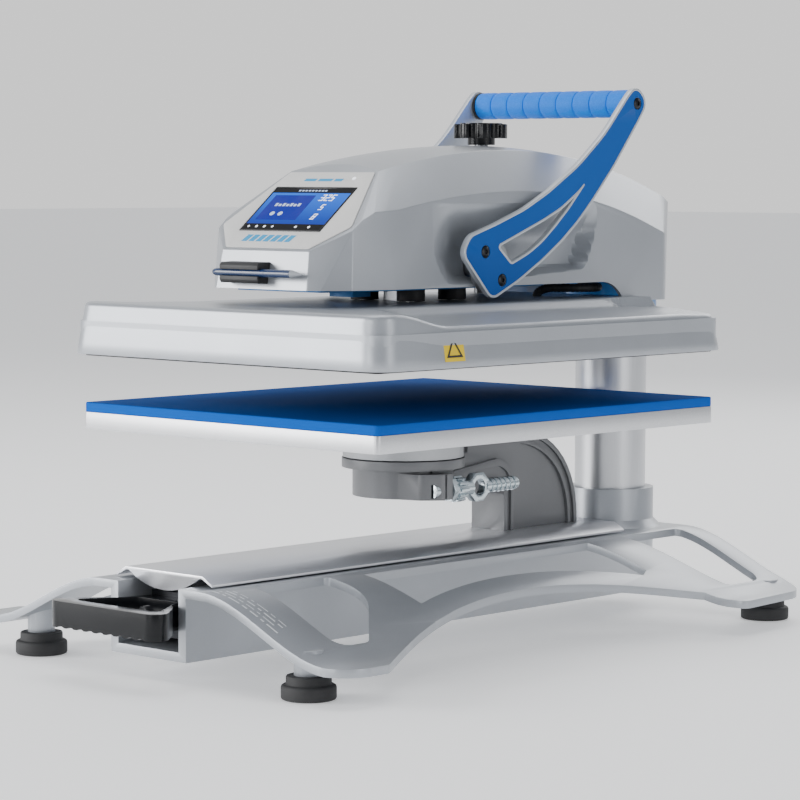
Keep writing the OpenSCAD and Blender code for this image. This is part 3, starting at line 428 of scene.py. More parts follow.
def tube(work, path, radius, sides, closed_ends=True):
    """A round tube along a list of Vectors; radius is a number or a function of the step."""
    frame_up = Vector((0, 0, 1))
    rings = []
    for i, p in enumerate(path):
        ahead = (path[min(i + 1, len(path) - 1)] - path[max(i - 1, 0)]).normalized()
        if i == 0:
            side = ahead.cross(frame_up if abs(ahead.z) < 0.9 else Vector((0, 1, 0))).normalized()
        else:
            side = (side - ahead * side.dot(ahead)).normalized()
        lift = side.cross(ahead)
        r = radius(i) if callable(radius) else radius
        rings.append([work.verts.new(p + (side * math.cos(t) + lift * math.sin(t)) * r)
                      for t in (2 * math.pi * k / sides for k in range(sides))])
    for a, b in zip(rings, rings[1:]):
        for k in range(sides):
            n = (k + 1) % sides
            work.faces.new((a[k], b[k], b[n], a[n]))
    if closed_ends:
        work.faces.new(rings[0])
        work.faces.new(rings[-1][::-1])


def smooth_path(points, steps):
    """A Catmull-Rom curve through points."""
    pts = [Vector(p) for p in points]
    pts = [pts[0] * 2 - pts[1]] + pts + [pts[-1] * 2 - pts[-2]]
    out = []
    for i in range(1, len(pts) - 2):
        a, b, c, d = pts[i - 1:i + 3]
        for k in range(steps):
            t = k / steps
            out.append(0.5 * (2 * b + (c - a) * t + (2 * a - 5 * b + 4 * c - d) * t * t
                              + (3 * b - a - 3 * c + d) * t ** 3))
    return out + [pts[-2]]


def slab(work, outline, place, depth):
    """A prism: outline is (u, v) pairs, place(u, v, w) gives the point, w from depth[0] to depth[1]."""
    low = [work.verts.new(place(u, v, depth[0])) for u, v in outline]
    top = [work.verts.new(place(u, v, depth[1])) for u, v in outline]
    work.faces.new(low[::-1])
    work.faces.new(top)
    for k in range(len(outline)):
        n = (k + 1) % len(outline)
        work.faces.new((low[k], low[n], top[n], top[k]))


def ease(t):
    t = min(max(t, 0.0), 1.0)
    return t * t * (3 - 2 * t)


# ---- head casing -------------------------------------------------------------------------

PANEL_TOP = Vector((59.7, -93.4, 476.4)) * MM
PANEL_LOW = Vector((59.4, -189.3, 399.6)) * MM
PANEL_TILT = math.atan2(PANEL_TOP.z - PANEL_LOW.z, PANEL_TOP.y - PANEL_LOW.y)
SCREEN_MID = Vector((-2.7 * MM, -0.141, PANEL_LOW.z + (-0.141 - PANEL_LOW.y) * math.tan(PANEL_TILT)))
SCREEN_W, SCREEN_H = 0.1074, 0.064


def roof(y):
    return 498.5 - (22 * ((103 - y) / 196) ** 2 if y < 103 else 46 * ((y - 103) / 250) ** 2)


def shoulder(y):
    return 457 - (27.7 * ((80 - y) / 232) ** 2 if y < 80 else 8.6e-4 * (y - 80) ** 2)


def panel_point(u, v, out):
    """A point on the console: u across, v up the slope and out along its normal, from the screen's middle."""
    c, s = math.cos(PANEL_TILT), math.sin(PANEL_TILT)
    return SCREEN_MID + Vector((u, v * c - out * s, v * s + out * c))


def hull_points(wall):
    """The casing's convex form in millimetres, drawn in by wall."""
    nose_r, post = 59 - wall, POST_Y / MM
    points = []
    for x, lift in ((0, 5), (15, 4.7), (30, 3.8), (44, 2.3), (53, 1.0), (60, 0)):
        x = max(x - wall * 0.6, 0)
        first = -93.4 + 1.8 * lift + wall
        last = post + math.sqrt(nose_r ** 2 - min(x, 50) ** 2) - (16 if x > 55 else 0)
        for i in range(31):
            y = first + (last - first) * i / 30
            points.append((x, y, roof(y) + lift - wall))
    for i in range(31):
        y = -152 + wall + (298 + 152 - wall) * i / 30
        x = min(92 + 8 * (y + 164.5) / 54.5, 100)
        panel = PANEL_LOW.z / MM + (y + 189.3) * math.tan(PANEL_TILT) - 0.3
        points.append((x - wall, y, min(shoulder(y) + 100 - x, panel) - wall * 0.4))
    for x, y in arc(82, 306, 18 - wall, 0, 37.7, 6) + arc(0, post, nose_r, 37.7, 89, 12):
        points.append((x, y, 330))
        points.append((x, y, min(shoulder(min(y, 330)) + (y - 298) * 0.05, roof(y)) - wall))
    mid_z = PANEL_LOW.z / MM + (-160.3 + 189.3) * math.tan(PANEL_TILT)
    for x, y, z in ((59.4, -189.3, 399.6), (62.4, -195.8, 362), (62.9, -201.3, 330), (92, -164.5, 330),
                    (92, -164.5, 362), (92.7, -163.4, 419.4), (91.8, -160.3, mid_z), (100, -110, 330)):
        points.append((x - wall, y + wall * 1.2, z - (wall * 0.3 if z > 362 else 0)))
    return points


def hull_object(name, wall):
    work = bmesh.new()
    for x, y, z in hull_points(wall):
        for s in ((1, -1) if x > 1e-6 else (1,)):
            work.verts.new((s * x * MM, y * MM, z * MM))
    bmesh.ops.convex_hull(work, input=work.verts)
    loose = [v for v in work.verts if not v.link_faces]
    bmesh.ops.delete(work, geom=loose, context="VERTS")
    bmesh.ops.dissolve_limit(work, angle_limit=math.radians(0.7), verts=work.verts, edges=work.edges)
    bmesh.ops.recalc_face_normals(work, faces=work.faces)
    mesh = bpy.data.meshes.new(name)
    work.to_mesh(mesh)
    work.free()
    thing = bpy.data.objects.new(name, mesh)
    scene.collection.objects.link(thing)
    return thing


def cutter(name, build):
    work = bmesh.new()
    build(work)
    bmesh.ops.remove_doubles(work, verts=work.verts, dist=1e-6)
    bmesh.ops.recalc_face_normals(work, faces=work.faces)
    mesh = bpy.data.meshes.new(name)
    work.to_mesh(mesh)
    work.free()
    thing = bpy.data.objects.new(name, mesh)
    scene.collection.objects.link(thing)
    return thing


def side_x(a, b, c):
    return Vector((c, a, b))


def belly(work):
    """Everything under the casing's lower edge, with the arch ahead of the post."""
    line = [(-0.30, 0.30), (-0.30, 0.3622), (0.206, 0.3622)]
    line += [(y * MM, z * MM) for y, z in arc(206, 322, 40.2, 90, 32, 14)]
    line += [(0.262, 0.3412), (0.42, 0.3402), (0.42, 0.30)]
    slab(work, line, side_x, (-0.14, 0.14))


def dish(work, deeper=0.0):
    """The hollow in the casing's side for the lever: steep behind and below, fading out forwards and up."""
    cols, rows = 56, 36
    verts = []
    for i in range(cols + 1):
        line = []
        y = -66 + (212 + 66) * i / cols
        for j in range(rows + 1):
            z = 355 + (462 - 355) * j / rows
            back = 1 - ease((y - (196.5 - 22 * (max(437 - z, 0) / 62) ** 1.7) + 7) / 7)
            foot = ease((z - (371.5 + 0.06 * (y - 100))) / 7.0)
            fore = ease((y + 58 - 22 * ease((395 - z) / 40)) / 46)
            head = 1 - ease((z - 404) / 44)
            depth = 19 * min(back, 1) * foot * fore * head
            sunk = depth + (1.2 if depth > 0.05 else 0) + deeper
            line.append(work.verts.new(((101.2 - sunk) * MM, y * MM, z * MM)))
        verts.append(line)
    far = [[work.verts.new((0.14, v.co.y, v.co.z)) for v in line] for line in verts]
    for grid, turn in ((verts, 1), (far, -1)):
        for i in range(cols):
            for j in range(rows):
                quad = (grid[i][j], grid[i][j + 1], grid[i + 1][j + 1], grid[i + 1][j])
                work.faces.new(quad[::turn])
    rim = [verts[i][0] for i in range(cols)] + [verts[cols][j] for j in range(rows)]
    rim += [verts[i][rows] for i in range(cols, 0, -1)] + [verts[0][j] for j in range(rows, 0, -1)]
    out = [far[i][0] for i in range(cols)] + [far[cols][j] for j in range(rows)]
    out += [far[i][rows] for i in range(cols, 0, -1)] + [far[0][j] for j in range(rows, 0, -1)]
    for k in range(len(rim)):
        n = (k + 1) % len(rim)
        work.faces.new((rim[k], rim[n], out[n], out[k]))
    bmesh.ops.recalc_face_normals(work, faces=work.faces)


def mirrored(build, *more):
    def run(work):
        build(work, *more)
        for v in work.verts:
            v.co.x = -v.co.x
        bmesh.ops.reverse_faces(work, faces=work.faces)
    return run


def make_casing():
    shell = hull_object("casing_body", 0)
    baked(shell, ("BEVEL", {"width": 0.0042, "segments": 4, "limit_method": "ANGLE", "profile": 0.55,
                            "angle_limit": math.radians(17), "use_clamp_overlap": True}))
    hollow = hull_object("casing_hollow", 4.0)
    for name, build in (("right", lambda w: dish(w, 4.2)), ("left", mirrored(dish, 4.2))):
        spare = cutter("dish_wall_" + name, build)
        baked(hollow, ("BOOLEAN", {"operation": "DIFFERENCE", "object": spare, "solver": "EXACT"}))
        bpy.data.objects.remove(spare)
    tools = [cutter("belly_cutter", belly), hollow]
    tools += [cutter("dish_right", dish), cutter("dish_left", mirrored(dish))]
    hole = [(SHAFT_Y + 0.0145 * math.cos(t), SHAFT_Z + 0.0145 * math.sin(t)) for t in
            (2 * math.pi * k / 32 for k in range(32))]
    tools.append(cutter("shaft_hole", lambda w: slab(w, hole, side_x, (-0.15, 0.15))))
    for tool in tools:
        baked(shell, ("BOOLEAN", {"operation": "DIFFERENCE", "object": tool, "solver": "EXACT"}))
    for tool in tools:
        bpy.data.objects.remove(tool)
    return mount(shell, "head", silver, math.radians(26), ("casing_shell",))


make_casing()


# ---- console: overlay, display and its lit marks ------------------------------------------

def on_console(name, outline, out, material, replaces=()):
    return piece_from(name, "head", material,
                      lambda w: slab(w, outline, panel_point, out), 0, replaces)


def rect(x0, y0, x1, y1): return [(x0, y0), (x1, y0), (x1, y1), (x0, y1)]


WHITE = glowing("lit_white", (0.92, 0.95, 1.0), 0.9)
DIM = glowing("lit_dim", (0.45, 0.55, 0.75), 0.5)
CYAN = plastic("print_blue", (0.0, 0.30, 0.60), 0.4)
FIELD_LOW = panel_point(0, -SCREEN_H / 2, 0).z
FIELD_HIGH = panel_point(0, SCREEN_H / 2, 0).z
DARK_PANE = plastic("pane_blue", (0.0, 0.012, 0.30), 0.2, depth=0.000005, spec=0.1)
BAR = plastic("bar_black", (0.001, 0.0012, 0.003), 0.2, depth=0.000005, vary=0.0, spec=0.1)

SEGMENTS = {"0": "abcdef", "1": "bc", "2": "abged", "3": "abgcd", "4": "fgbc", "5": "afgcd", "6": "afgcde",
            "7": "abc", "8": "abcdefg", "9": "abcdfg"}


def digit_bars(sign, x, y, h):
    """Seven-bar digit as slanted strips, lower left corner at x, y."""
    w, t = h * 0.52, h * 0.11
    strips = {"a": (0, h - t, w, h), "g": (0, h / 2 - t / 2, w, h / 2 + t / 2), "d": (0, 0, w, t),
              "f": (0, h / 2, t, h), "e": (0, 0, t, h / 2), "b": (w - t, h / 2, w, h),
              "c": (w - t, 0, w, h / 2)}
    lean = 0.16
    return [[(x + a + lean * b, y + b), (x + c + lean * b, y + b),
             (x + c + lean * d, y + d), (x + a + lean * d, y + d)]
            for a, b, c, d in (strips[k] for k in SEGMENTS[sign])]


def lit_marks():
    half_w, half_h = SCREEN_W / 2, SCREEN_H / 2
    shapes = []
    rows = (("325", 0.0175, 0.0095, 0), ("5", 0.003, 0.0085, 0.010), ("8", -0.0115, 0.0085, 0.010))
    for text, top, h, shift in rows:
        for k, sign in enumerate(text):
            shapes += digit_bars(sign, half_w - 0.036 + shift + k * h * 0.72, top - h / 2, h)
    for k, x in enumerate((-0.047, -0.036, -0.025, -0.014, 0.018, 0.036)):
        ring = [(x + 0.0017 * math.cos(t), -half_h + 0.0045 + 0.0017 * math.sin(t))
                for t in (2 * math.pi * i / (4 + 2 * (k % 3)) for i in range(4 + 2 * (k % 3)))]
        shapes.append(ring)
    return shapes


def build_marks(work):
    for outline in lit_marks():
        slab(work, outline, panel_point, (0.00145, 0.00160))


rounded_copy("console_overlay", panel_grey, "head", 0.0004, 2)
rounded_copy("screen_frame", gloss_black, "head", 0.0003, 1)
nodes["touch_screen"].data.materials.clear()
nodes["touch_screen"].data.materials.append(screen_glass(FIELD_LOW, FIELD_HIGH))
on_console("screen_top_bar", rect(-SCREEN_W / 2, SCREEN_H / 2 - 0.0072, SCREEN_W / 2, SCREEN_H / 2),
           (0.00125, 0.00146), BAR)
on_console("screen_icon_bar", rect(-SCREEN_W / 2, -SCREEN_H / 2, SCREEN_W / 2, -SCREEN_H / 2 + 0.0088),
           (0.00125, 0.00146), BAR)
on_console("screen_pane", rect(-SCREEN_W / 2 + 0.007, -0.017, 0.009, 0.021), (0.00125, 0.00143), DARK_PANE)
piece_from("screen_marks", "head", WHITE, build_marks, 0)


def pane_marks(work):
    for k in range(7):
        slab(work, rect(-0.036 + 0.0052 * k, 0.004, -0.0325 + 0.0052 * k, 0.0085 - 0.0012 * (k % 2)),
             panel_point, (0.00142, 0.00156))
    for x in (-0.030, -0.019):
        ring = [(x + 0.0030 * math.cos(t), -0.0075 + 0.0030 * math.sin(t))
                for t in (2 * math.pi * i / 20 for i in range(20))]
        slab(work, ring, panel_point, (0.00142, 0.00156))
    for k in range(9):
        slab(work, rect(-0.020 + 0.0045 * k, SCREEN_H / 2 - 0.0048,
                        -0.0172 + 0.0045 * k, SCREEN_H / 2 - 0.0028), panel_point, (0.00145, 0.00158))


piece_from("pane_marks", "head", DIM, pane_marks, 0)


def trim_bars(work):
    """Plain printed bars above and below the display, where a maker would put a name."""
    for k, (a, b) in enumerate(((-0.026, -0.010), (-0.007, 0.012), (0.015, 0.026))):
        slab(work, [(a, 0.0435), (b, 0.0435), (b + 0.0012, 0.0475), (a + 0.0012, 0.0475)], panel_point,
             (0.00105, 0.00128))
    for k in range(7):
        a, b = -0.040 + 0.0098 * k, -0.0325 + 0.0098 * k
        slab(work, [(a, -0.0500), (b, -0.0500), (b + 0.003, -0.0400), (a + 0.003, -0.0400)], panel_point,
             (0.00105, 0.00128))


piece_from("console_trim", "head", CYAN, trim_bars, 0)


# ---- heat platen cover -------------------------------------------------------------------

COVER_Y = PLATEN_Y - 0.001
COVER_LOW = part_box("platen_cover")[0][2]
COVER_HALF = (0.21585, 0.26305)
COVER_TOP = 346.0


def rounded_ring(half_x, half_y, radius, count):
    """count points round a rounded rectangle, starting halfway along its +X side."""
    radius = max(min(radius, half_x - 1e-4, half_y - 1e-4), 1e-4)
    sx, sy = half_x - radius, half_y - radius
    corner = max(int(count * 0.03), 3)
    points = []
    nx = max(int(round((count // 4 - corner) * sx / (sx + sy))), 2)
    ny = count // 4 - corner - nx
    for q in range(4):
        a = q * 90.0
        c, s = round(math.cos(math.radians(a))), round(math.sin(math.radians(a)))
        n1, n2 = (ny, nx) if q % 2 == 0 else (nx, ny)
        l1, l2 = (sy, sx) if q % 2 == 0 else (sx, sy)
        h1 = half_x if q % 2 == 0 else half_y
        for i in range(n1):
            u, v = h1, l1 * i / n1
            points.append((u * c - v * s, u * s + v * c))
        for i in range(corner):
            t = math.radians(90 * i / corner)
            u, v = h1 - radius + radius * math.cos(t), l1 + radius * math.sin(t)
            points.append((u * c - v * s, u * s + v * c))
        h2 = half_y if q % 2 == 0 else half_x
        for i in range(n2):
            u, v = l2 * (1 - i / n2), h2
            points.append((u * c - v * s, u * s + v * c))
    return points


def cover_height(x, y):
    """Top of the cover in millimetres: a low shelf, a raised island down the middle and a raised front."""
    x, y = abs(x), y
    shelf = 331.0 + 5.0 * ease((210 - x) / 82) + 1.4 * ease((257 - y) / 60)
    side = ease((131.5 - x) / 9.0)
    rear = ease((197 - y) / 9.0)
    front = ease((-116 - (x - 128) * 0.66 - y) / 62) if x > 122 else 1.0
    front = max(front, ease((-150 - y) / 70))
    island = max(side * rear, front)
    crown = 2.2 * ease((-200 - y) / 60) - 1.6 * (x / 210) ** 2 * ease((-150 - y) / 60)
    return shelf + (COVER_TOP - shelf - 1.2 * ease((-222 - y) / 40)) * island + min(crown, 0.0)


def cover_mesh(work):
    count = 360
    rings = []

    def ring(inset, radius, height):
        base = rounded_ring(COVER_HALF[0] - inset, COVER_HALF[1] - inset, radius, count)
        return [work.verts.new((x, y + COVER_Y, height(x / MM, (y + COVER_Y) / MM) * MM)) for x, y in base]

    low = COVER_LOW / MM
    rings.append(ring(0.0030, 0.022, lambda x, y: 327.0))
    rings.append(ring(0.0030, 0.022, lambda x, y: low + 0.3))
    rings.append(ring(0.0026, 0.0225, lambda x, y: low))
    rings.append(ring(0.0004, 0.0246, lambda x, y: low))
    rings.append(ring(0.0, 0.025, lambda x, y: low + 0.8))
    for share in (0.25, 0.5, 0.75, 0.9):
        rings.append(ring(0.0056 * share ** 1.25, 0.0245,
                          lambda x, y, k=share: low + (cover_height(x, y) - 5.0 - low) * k))
    for t in range(7):
        a = math.radians(90 * t / 6)
        rings.append(ring(0.0056 + 0.0052 * (1 - math.cos(a)), 0.0235 - 0.004 * (1 - math.cos(a)),
                          lambda x, y, k=math.sin(a): cover_height(x, y) - 5.0 + 5.0 * k))
    steps = 66
    depth = COVER_HALF[0] - 0.0108 - 0.0012
    for t in range(1, steps + 1):
        inset = 0.0108 + depth * t / steps
        rings.append(ring(inset, max(0.0195 - inset * 0.2, 0.0006), cover_height))
    for a, b in zip(rings, rings[1:]):
        for k in range(count // 4 * 4):
            n = (k + 1) % len(a)
            work.faces.new((a[k], a[n], b[n], b[k]))
    work.faces.new(rings[-1])
    work.faces.new(rings[0][::-1])
    bmesh.ops.triangulate(work, faces=[f for f in work.faces if len(f.verts) > 8])


piece_from("platen_cover_cast", "press", silver, cover_mesh, math.radians(50),
           ("platen_cover",))


def flank_point(y, z, out):
    """A point on the cover's right flank."""
    return Vector((COVER_HALF[0] - 0.0056 * ((z - 0.2936) / 0.032) ** 1.25 + out, y, z))


def side_tag(work):
    """A small plain tag on the cover's right flank, beside its front corner."""
    slab(work, rect(-0.1672, 0.2998, -0.1393, 0.3252), flank_point, (0.0002, 0.0006))


def warning_mark(work):
    """A plain triangle outline printed on the tag."""
    mid, low = -0.15325, 0.3035
    out = [(mid - 0.0112, low), (mid + 0.0112, low), (mid, low + 0.0190)]
    core = [(mid - 0.0078, low + 0.0020), (mid + 0.0078, low + 0.0020), (mid, low + 0.0152)]
    for k in range(3):
        n = (k + 1) % 3
        slab(work, [out[k], out[n], core[n], core[k]], flank_point, (0.0006, 0.0008))


piece_from("flank_tag", "press", plastic("tag_yellow", (0.80, 0.56, 0.01), 0.4), side_tag, 0)
piece_from("flank_tag_mark", "press", matte_black, warning_mark, 0)


# ---- base, drawer and lower platen -------------------------------------------------------

rounded_copy("base_casting", silver, "base", 0.0022, 3)
rounded_copy("slide_plate", brushed_sheet, "drawer", 0.0005, 2)
rounded_copy("drawer_handle", gloss_black, "drawer", 0.0038, 4, smooth=50)
rounded_copy("platen_arm", grey_coat, "drawer", 0.0018, 3)
rounded_copy("platen_spigot", cast_metal, "drawer", 0.0010, 2)
rounded_copy("platen_plate", sanded, "drawer", 0.0012, 2)
PAD = rounded_copy("silicone_pad", blue_silicone, "drawer", 0.0010, 2)
rounded_copy("heater_plate", coated_plate, "press", 0.0012, 2)
rounded_copy("clamp_screw", zinc, "clamp_bolt", 0.0007, 2)
rounded_copy("clamp_nut", zinc, "drawer", 0.0007, 2)
rounded_copy("swing_frame", blue_coat, "head", 0.0010, 2)
rounded_copy("pressure_knob", gloss_black, "pressure_knob", 0.0022, 4, smooth=45)
rounded_copy("stylus_clip", matte_black, "head", 0.0005, 2)
for side in ("right", "left"):
    rounded_copy("lever_" + side, lever_silver, "handle", 0.0007, 2, smooth=30)
    rounded_copy("lever_inlay_" + side, inlay_blue, "handle", 0.0002, 1, smooth=30)
rounded_copy("lever_flanges", cast_metal, "handle", 0.0008, 2)


def feet(work):
    """Four levelling feet: a broad rubber disc with a chamfer, and a smaller disc on it."""
    for node_x in (-1, 1):
        for x, y in FOOT_PLACES:
            profile = [(0, 0), (23.6, 0), (24.9, 0.6), (25.5, 2.0), (25.5, 11.0), (25.0, 12.6), (23.6, 13.6),
                       (21.6, 13.9), (21.0, 14.6), (20.9, 20.6), (20.2, 21.7), (18.6, 22.0), (0, 22.0)]
            lathe(work, [(r * MM, h * MM) for r, h in profile], 72,
                  lambda r, t, h, x=x * node_x, y=y: Vector((x + r * math.cos(t), y + r * math.sin(t), h)))


FOOT_PLACES = ((0.1858, -0.3172), (0.1935, 0.3705))
piece_from("levelling_feet", "base", foot_rubber, feet, math.radians(40), ("rubber_feet",))


def leg_top(x):
    return (88.5 - 52.5 * ease((abs(x) / MM - 70) / 165)) * MM


def leg_dashes(work):
    """Plain dashes laid along the front right leg, where a maker would print guidance."""
    rows = ((-0.332, 0.0032), (-0.3255, 0.0018), (-0.3195, 0.0026), (-0.3135, 0.0014))
    for r, (y, wide) in enumerate(rows):
        x = 0.074 + 0.003 * r
        k = 0
        while x < 0.150:
            run = (0.010, 0.004, 0.014, 0.006)[(k + r) % 4]
            strip = [(x + run * i / 3) for i in range(4)]
            low = [work.verts.new((p, y, leg_top(p) + 0.00003)) for p in strip]
            high = [work.verts.new((p, y + wide * 0.5, leg_top(p) + 0.00003)) for p in strip]
            low2 = [work.verts.new((p, y, leg_top(p) + 0.00022)) for p in strip]
            high2 = [work.verts.new((p, y + wide * 0.5, leg_top(p) + 0.00022)) for p in strip]
            for i in range(3):
                work.faces.new((low2[i], low2[i + 1], high2[i + 1], high2[i]))
                work.faces.new((low[i], high[i], high[i + 1], low[i + 1]))
                work.faces.new((low[i], low[i + 1], low2[i + 1], low2[i]))
                work.faces.new((high[i], high2[i], high2[i + 1], high[i + 1]))
            work.faces.new((low[0], low2[0], high2[0], high[0]))
            work.faces.new((low[3], high[3], high2[3], low2[3]))
            x += run + 0.004
            k += 1


piece_from("leg_dashes", "base", plastic("print_white", (0.80, 0.82, 0.84), 0.5), leg_dashes, 0)


# ---- handle grip, bolts and running gear ---------------------------------------------------

def foam_profile():
    half, radius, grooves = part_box("foam_grip")[1][0], 0.0145, 8
    pitch = 2 * half / (grooves + 1)
    core = 0.0098
    profile = [(core, -half), (radius - 0.0022, -half), (radius - 0.0008, -half + 0.0006)]
    for k in range(grooves + 1):
        start = -half + pitch * k
        for t in range(11):
            s = t / 10
            swell = 0.0006 * (1 - abs(2 * s - 1) ** 5)
            profile.append((radius - 0.0006 + swell, start + pitch * (0.03 + 0.94 * s)))
        if k < grooves:
            profile.append((radius - 0.0020, start + pitch))
    profile += [(radius - 0.0008, half - 0.0006), (radius - 0.0022, half), (core, half), (core, -half)]
    return profile


def grip_mesh(work):
    lathe(work, foam_profile(), 64,
          lambda r, t, h: Vector((h, GRIP_Y + r * math.cos(t), GRIP_Z + r * math.sin(t))))


GRIP = piece_from("ribbed_grip", "handle", blue_foam, grip_mesh, math.radians(50),
                  ("foam_grip",))

for node, body, width in (("lever_bolts", "handle", 0.0005), ("grip_rings", "handle", 0.0006),
                          ("cover_screws", "press", 0.0005), ("casing_screws", "head", 0.0003)):
    rounded_copy(node, black_oxide if node != "grip_rings" else matte_black, body,
                 width, 2)

rounded_copy("guide_bushes", matte_black, "head", 0.0008, 2)


def stylus_mesh(work):
    (x0, y0, z0), (x1, y1, z1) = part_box("stylus_barrel")
    cy, cz = (y0 + y1) / 2, (z0 + z1) / 2
    profile = [(0, x0), (0.0018, x0 + 0.0002), (0.0030, x0 + 0.0012), (0.0037, x0 + 0.004),
               (0.0040, x0 + 0.009)]
    profile += [(0.0040, x1 - 0.0352), (0.0038, x1 - 0.0350), (0.0038, x1 - 0.0344), (0.0040, x1 - 0.0342)]
    profile += [(0.0040, x1 - 0.0004), (0.0036, x1), (0, x1)]
    lathe(work, profile, 40, lambda r, t, h: Vector((h, cy + r * math.cos(t), cz + r * math.sin(t))))


piece_from("stylus_body", "stylus", navy, stylus_mesh, math.radians(40), ("stylus_barrel",))

spring_lo, spring_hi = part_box("lift_springs")
SPRING_LOW, SPRING_HIGH = spring_lo[2] + 0.0009, spring_hi[2] - 0.0009
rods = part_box("guide_rods")
ROD_X = rods[1][0] - 0.009
ROD_Y = (rods[0][1] + rods[1][1]) / 2
ROD_DY = (rods[1][1] - rods[0][1]) / 2 - 0.009


def coil_tree():
    """Node tree: one coil of wire, stood on the four corners of a rectangle."""
    tree = bpy.data.node_groups.new("corner_coils", "GeometryNodeTree")
    for label, value in (("Turns", 7.0), ("Coil Radius", 0.0076), ("Wire Radius", 0.0009), ("Height", 0.07),
                         ("Spacing X", 0.064), ("Spacing Y", 0.068)):
        socket = tree.interface.new_socket(label, in_out="INPUT", socket_type="NodeSocketFloat")
        socket.default_value = value
    tree.interface.new_socket("Geometry", in_out="OUTPUT", socket_type="NodeSocketGeometry")

    def add(kind, settings=None, **links):
        made = tree.nodes.new(kind)
        for key, value in (settings or {}).items():
            setattr(made, key, value)
        for key, value in links.items():
            slot = made.inputs[key.replace("_", " ")]
            if isinstance(value, bpy.types.NodeSocket):
                tree.links.new(value, slot)
            else:
                slot.default_value = value
        return made.outputs

    given = add("NodeGroupInput")
    coil = add("GeometryNodeCurveSpiral", Resolution=18, Rotations=given["Turns"],
               Start_Radius=given["Coil Radius"], End_Radius=given["Coil Radius"], Height=given["Height"])
    section = add("GeometryNodeCurvePrimitiveCircle", {"mode": "RADIUS"}, Resolution=8,
                  Radius=given["Wire Radius"])
    wire = add("GeometryNodeCurveToMesh", Curve=coil[0], Profile_Curve=section[0], Fill_Caps=True)
    corners = add("GeometryNodeMeshGrid", Size_X=given["Spacing X"], Size_Y=given["Spacing Y"],
                  Vertices_X=2, Vertices_Y=2)
    stood = add("GeometryNodeInstanceOnPoints", Points=corners[0], Instance=wire[0])
    solid = add("GeometryNodeRealizeInstances", Geometry=stood[0])
    done = add("GeometryNodeSetMaterial", Geometry=solid[0], Material=rod_steel)
    last = tree.nodes.new("NodeGroupOutput")
    tree.links.new(done[0], last.inputs[0])
    return tree


def from_tree(name, tree, values, shift, body, material, smooth, replaces=()):
    """Runs a node tree with its named inputs set, and keeps the result as a plain mesh."""
    thing = bpy.data.objects.new(name, bpy.data.meshes.new(name))
    scene.collection.objects.link(thing)
    made = thing.modifiers.new("tree", "NODES")
    made.node_group = tree
    for item in tree.interface.items_tree:
        if item.in_out == "INPUT" and item.name in values:
            made[item.identifier] = values[item.name]
    baked(thing)
    thing.data.transform(Matrix.Translation(shift))
    return mount(thing, body, material, smooth, replaces)


SPRINGS = from_tree("coil_springs", coil_tree(),
                    {"Turns": 7.0, "Height": SPRING_HIGH - SPRING_LOW, "Spacing X": 2 * ROD_X,
                     "Spacing Y": 2 * ROD_DY},
                    Vector((0, ROD_Y, SPRING_LOW)), "head", rod_steel, math.radians(60),
                    ("lift_springs",))
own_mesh(SPRINGS)

HOSE = [(18, 268, 380), (18, 268, 368), (20, 266, 362), (28, 262, 357), (42, 257, 355.2), (58, 248, 355.0),
        (70, 234, 355.0), (73, 218, 355.0), (66, 203, 355.0), (52, 193, 355.0), (41, 187, 354.5),
        (33, 183, 351),
        (30, 182, 346), (30, 182, 338)]


def hose_mesh(work):
    path = smooth_path([Vector(p) * MM for p in HOSE], 14)
    tube(work, path, lambda i: 0.0046 - (0.00035 if i % 4 < 2 else 0), 20)


HOSE_PIECE = piece_from("corrugated_hose", None, hose_black, hose_mesh, math.radians(60),
                        ("heater_conduit",))
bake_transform(HOSE_PIECE)


# ---- finishes for the CAD parts that keep their shape ---------------------------------------

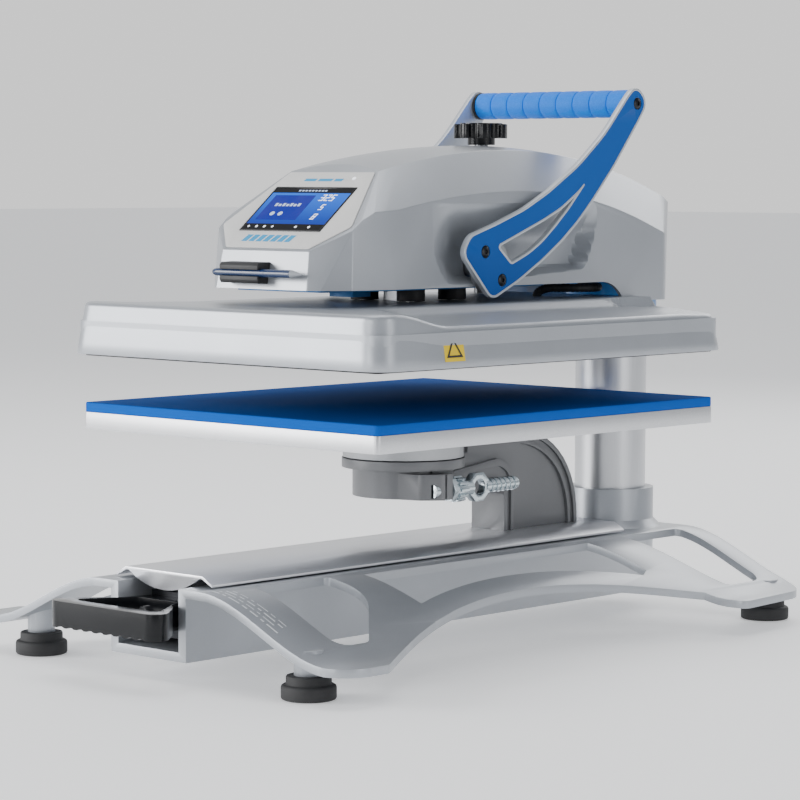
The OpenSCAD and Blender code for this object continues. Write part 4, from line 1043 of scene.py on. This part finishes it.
KEPT = {
    rod_steel: ("foot_studs", "guide_rods", "cross_shaft", "grip_tube", "drawer_handle_screws"),
    post_steel: ("post_tube",),
    mill_steel: ("post_cap", "fixed_rails", "drawer_runners", "arm_bolts", "platen_screws", "press_cam",
                 "crosshead",
                 "pressure_screw"),
    bronze: ("thrust_washer", "hub_bushes", "shaft_bearings"),
    black_oxide: ("collar_screws", "drawer_beam"),
    matte_black: ("power_plate", "power_inlet", "rocker_key", "conduit_gland"),
    board_green: ("control_board",),
    fibre: ("insulation_board",),
    tip_grey: ("stylus_tip",),
    WHITE: ("status_light",),
}
for finish, names in KEPT.items():
    for name in names:
        nodes[name].data.materials.clear()
        nodes[name].data.materials.append(finish)


# ---- floor and surroundings ----------------------------------------------------------------

def studio():
    """White behind the press and a soft grey on the other sides."""
    world = bpy.data.worlds.new("studio")
    world.use_nodes = True
    tree = world.node_tree
    w = Wire(tree, None)
    ahead = w.out("ShaderNodeVectorMath", {"operation": "DOT_PRODUCT"}, 1,
                  _0=w.out("ShaderNodeTexCoord", None, 0), _1=(-0.68, 0.73, 0.05))
    tone = mix(w, ahead.smooth(0.25, 0.85), rgb(0.36, 0.375, 0.40), rgb(1.0, 1.0, 1.0))
    tree.links.new(tone.socket, tree.nodes["Background"].inputs["Color"])
    tree.nodes["Background"].inputs["Strength"].default_value = 1.05
    scene.world = world


studio()

floor_mesh = bpy.data.meshes.new("floor")
floor_mesh.from_pydata([(-30, -30, -0.0004), (30, -30, -0.0004), (30, 30, -0.0004), (-30, 30, -0.0004)], [],
                       [(0, 1, 2, 3)])
floor_made, floor_shader, floor_wire = new_material("pale_floor")
floor_cloud = noise(floor_wire, floor_wire.out("ShaderNodeTexCoord", None, 3), 3.0)
floor_tone = mix(floor_wire, floor_cloud, rgb(0.88, 0.885, 0.89), rgb(0.90, 0.90, 0.905))
plug(floor_made, floor_shader, Base_Color=floor_tone, Emission_Color=floor_tone, Emission_Strength=0.42,
     Roughness=(floor_cloud * 0.1 + 0.7).clamp())
floor_mesh.materials.append(floor_made)
floor = bpy.data.objects.new("floor", floor_mesh)
scene.collection.objects.link(floor)
